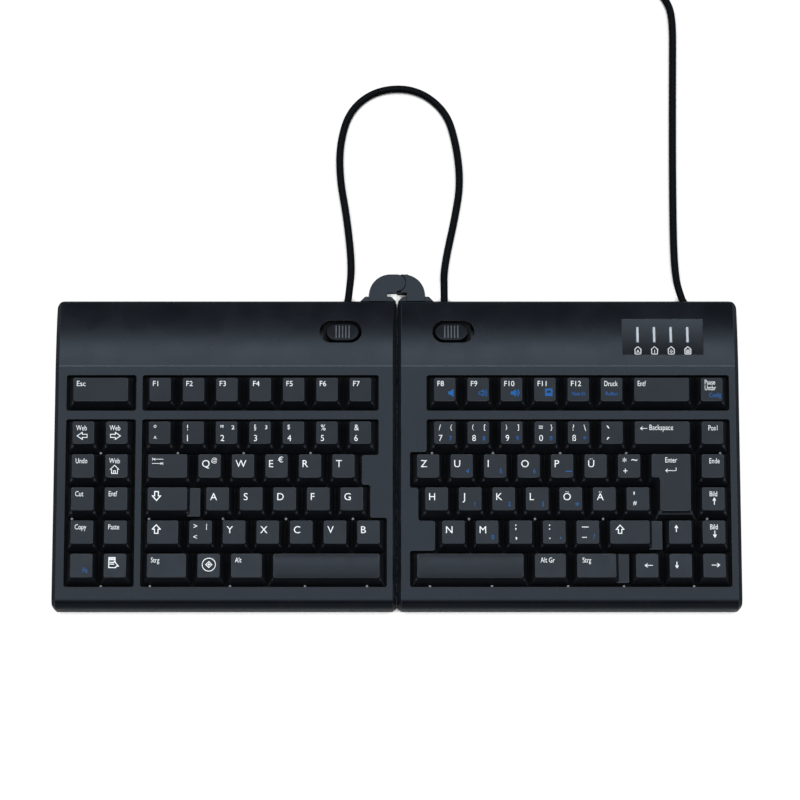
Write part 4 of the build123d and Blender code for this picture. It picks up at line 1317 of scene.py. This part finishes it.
@dataclass
class Case:
    """Cases, tether, sliders, window and the layers inside."""

    deck_round: float = 0.32 * MM
    small_round: float = 0.22 * MM
    arm_round: float = 0.5 * MM
    bar_round: float = 0.6 * MM
    icon_height: float = 5.1
    icon_drop: float = 7.4
    icon_lift: float = 0.04
    mark_height: float = 2.0
    mark_rise: float = 0.9
    marks: tuple[str | Sign, ...] = ("A", "1", Sign.BLOCK_DOWN, Sign.GRID)
    bar_half: float = 1.0 * MM
    bar_share: float = 0.82
    knob_foot: float = 9.0 * MM
    knob_gaps: Point = (1.15 * MM, 1.35 * MM)
    knob_shift: float = 0.35 * MM
    rib_limit: float = 0.8 * MM
    rib_reach: float = 5.0 * MM
    rib_level: float = 0.7
    pin_y: float = 93.2
    cheek_radius: float = 5.4
    cheek_turns: Point = (66.0, -62.0)
    cheek_steps: int = 24
    cheek_ends: Point = (-5.9, 4.85)
    cheek_side: float = 6.4
    cheek_levels: Point = (4.95, 7.895)
    crease_bead: float = 0.24 * MM
    bead_sides: int = 16
    crease_to_back: float = 40.1 * MM
    back_edge_height: float = 8.0 * MM
    slope_bulge: float = 1.5 * MM
    window_hollow: float = 0.35 * MM
    side_chamfer: float = 2.3 * MM
    plain: dict[str, str] = field(default_factory=lambda: {
        "feet": "foot_rubber", "case_screws": "screw_zinc", "backing_plate": "plate_steel",
        "switch_membrane": "film_clear", "dome_sheet": "dome_silicone", "key_frame": "frame_black",
        "circuit_board": "board_green", "cable_bushes": "cable_black",
    })

    def module(self, side: str, looks: Looks) -> None:
        """Dress one module."""
        body = f"{side}_module"
        # The bevelled rims of the deck take the painted highlight line, bright lines round the wells and
        # seam.
        top = softened(f"{side}_top_case", body, looks["case_grain"], self.deck_round, 3,
                       looks["painted_highlight_line"])
        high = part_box(f"{side}_top_case")[1]
        crease = (high[1] - self.crease_to_back, high[2])
        arc_normals(top, crease, (high[1], self.back_edge_height), self.slope_bulge)
        softened(f"{side}_bottom_case", body, looks["case_grain"], self.small_round)
        softened(f"{side}_tether_arm", body, looks["case_grain"], self.arm_round, 3)
        slider = f"{side}_release_slider"
        # The knob's bevels and ribs take the painted highlight line; its guide takes painted shade in
        # draw_in.
        knob = softened(slider, slider, looks["slider_satin"], self.small_round, 2, looks["painted_highlight_line"])
        # Third slot: painted shade, the frame's near-black for the knob's guide under the slot.
        knob.data.materials.append(looks["frame_black"])
        self.draw_in(knob)
        # The crease bead takes the painted highlight line, a bright thin line across the deck.
        self.crease(side, looks["painted_highlight_line"])
        for node, look in self.plain.items():
            self.paint(f"{side}_{node}", looks[look])
        log.info("%s module dressed", side)

    def draw_in(self, knob: bpy.types.Object) -> None:
        """Draw a slider's knob in from its slot's edge, paint highlights on its ribs and paint shade on its
        guide.
        """
        mesh = knob.data
        verts = [vert for vert in mesh.vertices if vert.co.z > self.knob_foot]
        for axis, gap in enumerate(self.knob_gaps):
            low, high = min(vert.co[axis] for vert in verts), max(vert.co[axis] for vert in verts)
            middle, share = (low + high) / 2, 1 - 2 * gap / (high - low)
            for vert in verts:
                vert.co[axis] = middle + (vert.co[axis] - middle) * share
        centre = (min(vert.co.x for vert in verts) + max(vert.co.x for vert in verts)) / 2
        for polygon in mesh.polygons:
            places = [mesh.vertices[n].co.x for n in polygon.vertices]
            narrow = max(places) - min(places) < self.rib_limit
            near = abs(polygon.center.x - centre) < self.rib_reach
            # Painted shade on the guide below the knob's foot; painted highlight on the narrow rib tops.
            if polygon.center.z < self.knob_foot:
                polygon.material_index = 2
            elif narrow and near and polygon.normal.z > self.rib_level:
                polygon.material_index = 1
        for vert in verts:
            vert.co.x += math.copysign(self.knob_shift, centre)

    def cheek(self, material: bpy.types.Material) -> None:
        """Fill the right tether arm up to the round knuckle of the left one."""
        start, end = self.cheek_turns
        steps = range(self.cheek_steps + 1)
        turns = [math.radians(start + (end - start) * n / self.cheek_steps) for n in steps]
        outline = [(self.cheek_radius * math.cos(turn), self.cheek_radius * math.sin(turn)) for turn in turns]
        low, high = self.cheek_ends
        outline += [(outline[-1][0], low), (self.cheek_side, low), (self.cheek_side, high)]
        outline.append((outline[0][0], high))
        shape = bmesh.new()
        rings = [
            [shape.verts.new(metres((x, self.pin_y + y, z))) for x, y in outline] for z in self.cheek_levels
        ]
        shape.faces.new(rings[0])
        shape.faces.new(rings[1])
        for n, vert in enumerate(rings[0]):
            shape.faces.new((vert, rings[0][n - 1], rings[1][n - 1], rings[1][n]))
        closed_piece("right_tether_cheek", shape, material, "right_module")

    def crease(self, side: str, material: bpy.types.Material) -> None:
        """Lay the fine bead along the line where the deck starts to fall to the back."""
        low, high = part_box(f"{side}_top_case")
        shape = bmesh.new()
        y, z, radius = high[1] - self.crease_to_back, high[2] - self.crease_bead / 2, self.crease_bead
        turns = [math.tau * n / self.bead_sides for n in range(self.bead_sides)]
        ring_faces(shape, [
            [(x, y + radius * math.cos(turn), z + radius * math.sin(turn)) for turn in turns]
            for x in (low[0] + self.side_chamfer, high[0] - self.side_chamfer)
        ])
        closed_piece(f"{side}_crease", shape, material, f"{side}_module")

    def paint(self, node: str, material: bpy.types.Material) -> None:
        """Give a CAD node its finish."""
        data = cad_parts[node].data
        data.materials.clear()
        data.materials.append(material)

    def window(self, looks: Looks) -> None:
        """Dress the indicator window, its light bars and the icons under them."""
        # The window's bevelled edges take the painted highlight line.
        glass = softened("indicator_window", "right_module", looks["window_gloss"], self.small_round, 2,
                         looks["painted_highlight_line"])
        places = [vert.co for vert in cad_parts["indicator_window"].data.vertices]
        ends = [edge(place.y for place in places) for edge in (min, max)]
        front, back = (
            (y, max(place.z for place in places if abs(place.y - y) < self.small_round)) for y in ends
        )
        arc_normals(glass, front, back, -self.window_hollow)
        bars = softened("light_bars", "right_module", looks["light_frost"], self.bar_round, 3)
        low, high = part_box("light_bars")
        first, last = low[0] + self.bar_half, high[0] - self.bar_half
        pitch = (last - first) / (len(self.marks) - 1)
        for vert in bars.data.vertices:
            middle = first + round((vert.co.x - first) / pitch) * pitch
            vert.co.x = middle + (vert.co.x - middle) * self.bar_share
        shape = bmesh.new()
        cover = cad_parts["indicator_window"].data
        faces = [polygon.vertices for polygon in cover.polygons]
        tree = BVHTree.FromPolygons([vert.co for vert in cover.vertices], faces)
        foot = low[1] - self.icon_drop * MM
        for n, mark in enumerate(self.marks):
            middle = first + n * pitch
            self.icon(shape, tree, Sign.LOCK, (middle, foot), self.icon_height * MM)
            self.icon(shape, tree, mark, (middle, foot + self.mark_rise * MM), self.mark_height * MM)
        icons = drawn("indicator_icons", shape)
        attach(piece("indicator_icons", icons, [looks["legend_white"]]), "right_module")
        log.info("window dressed")

    def icon(self, shape: bmesh.types.BMesh, tree: BVHTree, glyph: str | Sign, foot: Point,
             height: float) -> None:
        """Print a glyph on the window.

        Args:
            shape: Mesh that takes it.
            tree: The window's faces.
            glyph: What is printed.
            foot: Middle of its lower edge in metres.
            height: Its height in metres.
        """
        flat = glyph_mesh(glyph)
        places = [vert.co for vert in flat.vertices]
        left, right = min(p.x for p in places), max(p.x for p in places)
        low, high = min(p.y for p in places), max(p.y for p in places)
        size = height / (high - low)
        verts = []
        for place in places:
            x = foot[0] + (place.x - (left + right) / 2) * size
            y = foot[1] + (place.y - low) * size
            hit = tree.ray_cast(Vector((x, y, 1)), Vector((0, 0, -1)))[0]
            verts.append(shape.verts.new((x, y, hit.z + self.icon_lift * MM)))
        for polygon in flat.polygons:
            shape.faces.new([verts[i] for i in polygon.vertices])

    def build(self, looks: Looks) -> None:
        """Dress the whole case."""
        for side in ("left", "right"):
            self.module(side, looks)
        self.paint("tether_pin", looks["screw_zinc"])
        self.cheek(looks["case_grain"])
        self.window(looks)


# Studio


@dataclass
class Studio:
    """Camera, floor and lights."""

    stand: Place = (1.75 * MM, -442.8 * MM, 2232.3 * MM)
    tilt: float = 0.206804
    focal_pixels: float = 3958.8
    frame_pixels: float = 800.0
    sensor: float = 36.0
    view_end: float = 20.0
    sky: tuple[Point, ...] = (
        (-30.0, 0.02), (-20.0, 2.2), (6.0, 2.7), (10.0, 1.5), (18.0, 3.5), (24.0, 3.9), (27.5, 6.6),
        (30.0, 4.2), (32.5, 0.9), (35.0, 0.1), (41.0, 0.02), (90.0, 0.02),
    )
    sky_side: float = 32.0
    sky_fade: float = 6.0
    rim_light: float = 3.4
    rim_band: tuple[float, float, float, float] = (65.0, 69.0, 77.0, 81.0)
    rim_front: float = 0.2
    rim_behind: Point = (-0.8, -0.4)
    room_tone: Colour = (0.95, 0.98, 1.0)
    seam_reach: float = 5 * MM
    seam_open: Point = (0.46, 0.58)
    table_half: float = 3.0
    table_level: float = -0.2 * MM
    table_rough: float = 0.9
    table_gloss: float = 0.1
    table_shade: float = 0.35
    table_glow: float = 1.05

    def camera(self) -> None:
        """Place the camera as the photograph's."""
        data = bpy.data.cameras.new("camera")
        data.sensor_width = self.sensor
        data.lens = self.focal_pixels / self.frame_pixels * self.sensor
        data.clip_end = self.view_end
        obj = bpy.data.objects.new("camera", data)
        obj.location = self.stand
        obj.rotation_euler = (self.tilt, 0, 0)
        bpy.context.scene.collection.objects.link(obj)
        bpy.context.scene.camera = obj

    def floor(self) -> None:
        """White table, bright to the camera but for painted shade where something stands close around it:
        ambient occlusion darkens its colour and turns off its glow.
        """
        half, level = self.table_half, self.table_level
        corners = [(x * half, y * half, level) for x, y in ((-1, -1), (1, -1), (1, 1), (-1, 1))]
        mesh = bpy.data.meshes.new("table")
        mesh.from_pydata(corners, [], [(0, 1, 2, 3)])
        material, shader = new_material("table_white")
        shader.inputs["Roughness"].default_value = self.table_rough
        shader.inputs["Specular IOR Level"].default_value = self.table_gloss
        tree = material.node_tree
        closed, opened = self.seam_open
        white = (self.table_shade, self.table_shade, self.table_shade, 1)
        # Painted shade: ambient occlusion darkens the table's colour and cuts its glow where parts stand
        # close, as in the seam between the modules.
        near = add_node(tree, "ShaderNodeAmbientOcclusion", {"Distance": self.seam_reach}, samples=8)
        open_share = add_node(tree, "ShaderNodeMapRange", {"From Min": closed, "From Max": opened})
        shade = add_node(tree, "ShaderNodeMix", {"A": (0, 0, 0, 1), "B": white}, data_type="RGBA")
        share = add_node(tree, "ShaderNodeMath", operation="MULTIPLY")
        glow = add_node(tree, "ShaderNodeEmission", {"Strength": self.table_glow})
        mix, path = add_node(tree, "ShaderNodeMixShader"), add_node(tree, "ShaderNodeLightPath")
        wire(
            tree,
            (near, "AO", open_share, "Value"), (open_share, "Result", shade, "Factor"),
            (shade, "Result", shader, "Base Color"), (open_share, "Result", share, 0),
            (path, "Is Camera Ray", share, 1), (share, "Value", mix, "Fac"), (shader, "BSDF", mix, 1),
            (glow, "Emission", mix, 2), (mix, "Shader", tree.nodes["Material Output"], "Surface"),
        )
        piece("table", mesh, [material])

    def world(self) -> None:
        """Dark room with a soft box overhead, brightest at its back, and a low band of light around."""
        world = bpy.data.worlds.new("studio")
        bpy.context.scene.world = world
        world.use_nodes = True
        tree = world.node_tree
        place, split = add_node(tree, "ShaderNodeTexCoord"), add_node(tree, "ShaderNodeSeparateXYZ")
        wire(tree, (place, "Generated", split, "Vector"))
        x, y, z = (split.outputs[axis] for axis in "XYZ")
        lean = self.maths(tree, "ARCTAN2", y, z)
        tip = self.maths(tree, "ABSOLUTE", self.maths(tree, "ARCTAN2", x, z))
        inside = self.fade(tree, tip, self.sky_side, self.sky_side + self.sky_fade, 1.0, self.sky[-1][1])
        box = self.maths(tree, "MULTIPLY", self.sky_curve(tree, lean), inside)
        height = self.maths(tree, "ARCCOSINE", z)
        start, full, least, end = self.rim_band
        rise = self.fade(tree, height, start, full, 0.0, self.rim_light)
        fall = self.fade(tree, height, least, end, 1.0, 0.0)
        front, back = self.rim_behind
        behind = add_node(tree, "ShaderNodeMapRange", {
            "From Min": front, "From Max": back, "To Min": self.rim_front,
        })
        tree.links.new(y, behind.inputs["Value"])
        band = self.maths(tree, "MULTIPLY", rise, fall)
        ring = self.maths(tree, "MULTIPLY", band, behind.outputs["Result"])
        ground = tree.nodes["Background"]
        ground.inputs["Color"].default_value = (*self.room_tone, 1)
        tree.links.new(self.maths(tree, "ADD", box, ring), ground.inputs["Strength"])
        seen = add_node(tree, "ShaderNodeBackground", {"Color": (1, 1, 1, 1)})
        mix, path = add_node(tree, "ShaderNodeMixShader"), add_node(tree, "ShaderNodeLightPath")
        wire(
            tree,
            (path, "Is Camera Ray", mix, "Fac"), (ground, "Background", mix, 1), (seen, "Background", mix, 2),
            (mix, "Shader", tree.nodes["World Output"], "Surface"),
        )

    def maths(self, tree: bpy.types.NodeTree, kind: str,
              *values: bpy.types.NodeSocket) -> bpy.types.NodeSocket:
        """Add a maths node and return its result."""
        node = add_node(tree, "ShaderNodeMath", operation=kind)
        for socket, value in zip(node.inputs, values):
            tree.links.new(value, socket)
        return node.outputs["Value"]

    def fade(self, tree: bpy.types.NodeTree, value: bpy.types.NodeSocket, start: float, end: float,
             before: float, after: float, kind: str = "SMOOTHSTEP") -> bpy.types.NodeSocket:
        """Run from one level to another between two angles.

        Args:
            tree: The node tree.
            value: The angle.
            start: Where the run starts, in degrees.
            end: Where it ends, in degrees.
            before: Level up to the start.
            after: Level from the end on.
            kind: How the run goes.

        Returns:
            The level.
        """
        node = add_node(tree, "ShaderNodeMapRange", {
            "From Min": math.radians(start), "From Max": math.radians(end), "To Min": before, "To Max": after,
        }, interpolation_type=kind)
        tree.links.new(value, node.inputs["Value"])
        return node.outputs["Result"]

    def sky_curve(self, tree: bpy.types.NodeTree, lean: bpy.types.NodeSocket) -> bpy.types.NodeSocket:
        """Strength of the soft box by its angle towards the back."""
        peak = max(strength for _, strength in self.sky)
        first, last = self.sky[0][0], self.sky[-1][0]
        ramp = add_node(tree, "ShaderNodeValToRGB")
        scale = add_node(tree, "ShaderNodeMath", operation="MULTIPLY")
        elements = ramp.color_ramp.elements
        for degrees, _ in self.sky[1:-1]:
            elements.new((degrees - first) / (last - first))
        for element, (_, strength) in zip(elements, self.sky):
            element.color = (strength / peak, strength / peak, strength / peak, 1)
        tree.links.new(self.fade(tree, lean, first, last, 0.0, 1.0, "LINEAR"), ramp.inputs["Fac"])
        scale.inputs[1].default_value = peak
        tree.links.new(ramp.outputs["Color"], scale.inputs[0])
        return scale.outputs["Value"]

    def build(self) -> None:
        """Set up the studio."""
        bpy.context.scene.view_settings.view_transform = "Standard"
        self.floor()
        self.world()
        log.info("studio ready")


LEFT_PEGS = {-8.75: (-168.9, -125.0, -87.4, -49.3), -46.85: (-184.8, -141.0, -98.9, -63.1, -25.0),
             -85.6: (-167.8, -140.0, -94.6, -52.1, -17.0)}
RIGHT_PEGS = {-8.75: (20.0, 54.8, 93.1, 130.8, 184.4), -46.85: (41.0, 78.5, 117.2, 176.4),
              -85.6: (18.8, 53.9, 97.0, 128.7, 168.4)}


def main() -> None:
    """Build the keyboard's looks in order and report each part."""
    logging.basicConfig(level=logging.INFO, format="%(name)s: %(message)s")
    grain = grain_group()
    looks = {finish.name: finish.build(grain) for finish in FINISHES}
    studio = Studio()
    studio.camera()
    Cables().build(looks)
    studio.build()
    Case().build(looks)
    rows, pegs = row_tree(), peg_tree()
    for side, runs in (("left", LEFT_RUNS), ("right", RIGHT_RUNS)):
        keys = KeySet(side, runs)
        for name in runs:
            keys.make(name, rows, looks)
    for side, spots in (("left", LEFT_PEGS), ("right", RIGHT_PEGS)):
        # The pegs' grey finish paints their glints.
        FramePegs(spots).build(f"{side}_frame_pegs", f"{side}_module", pegs, looks["painted_peg_highlight"])


if __name__ == "__main__":
    main()
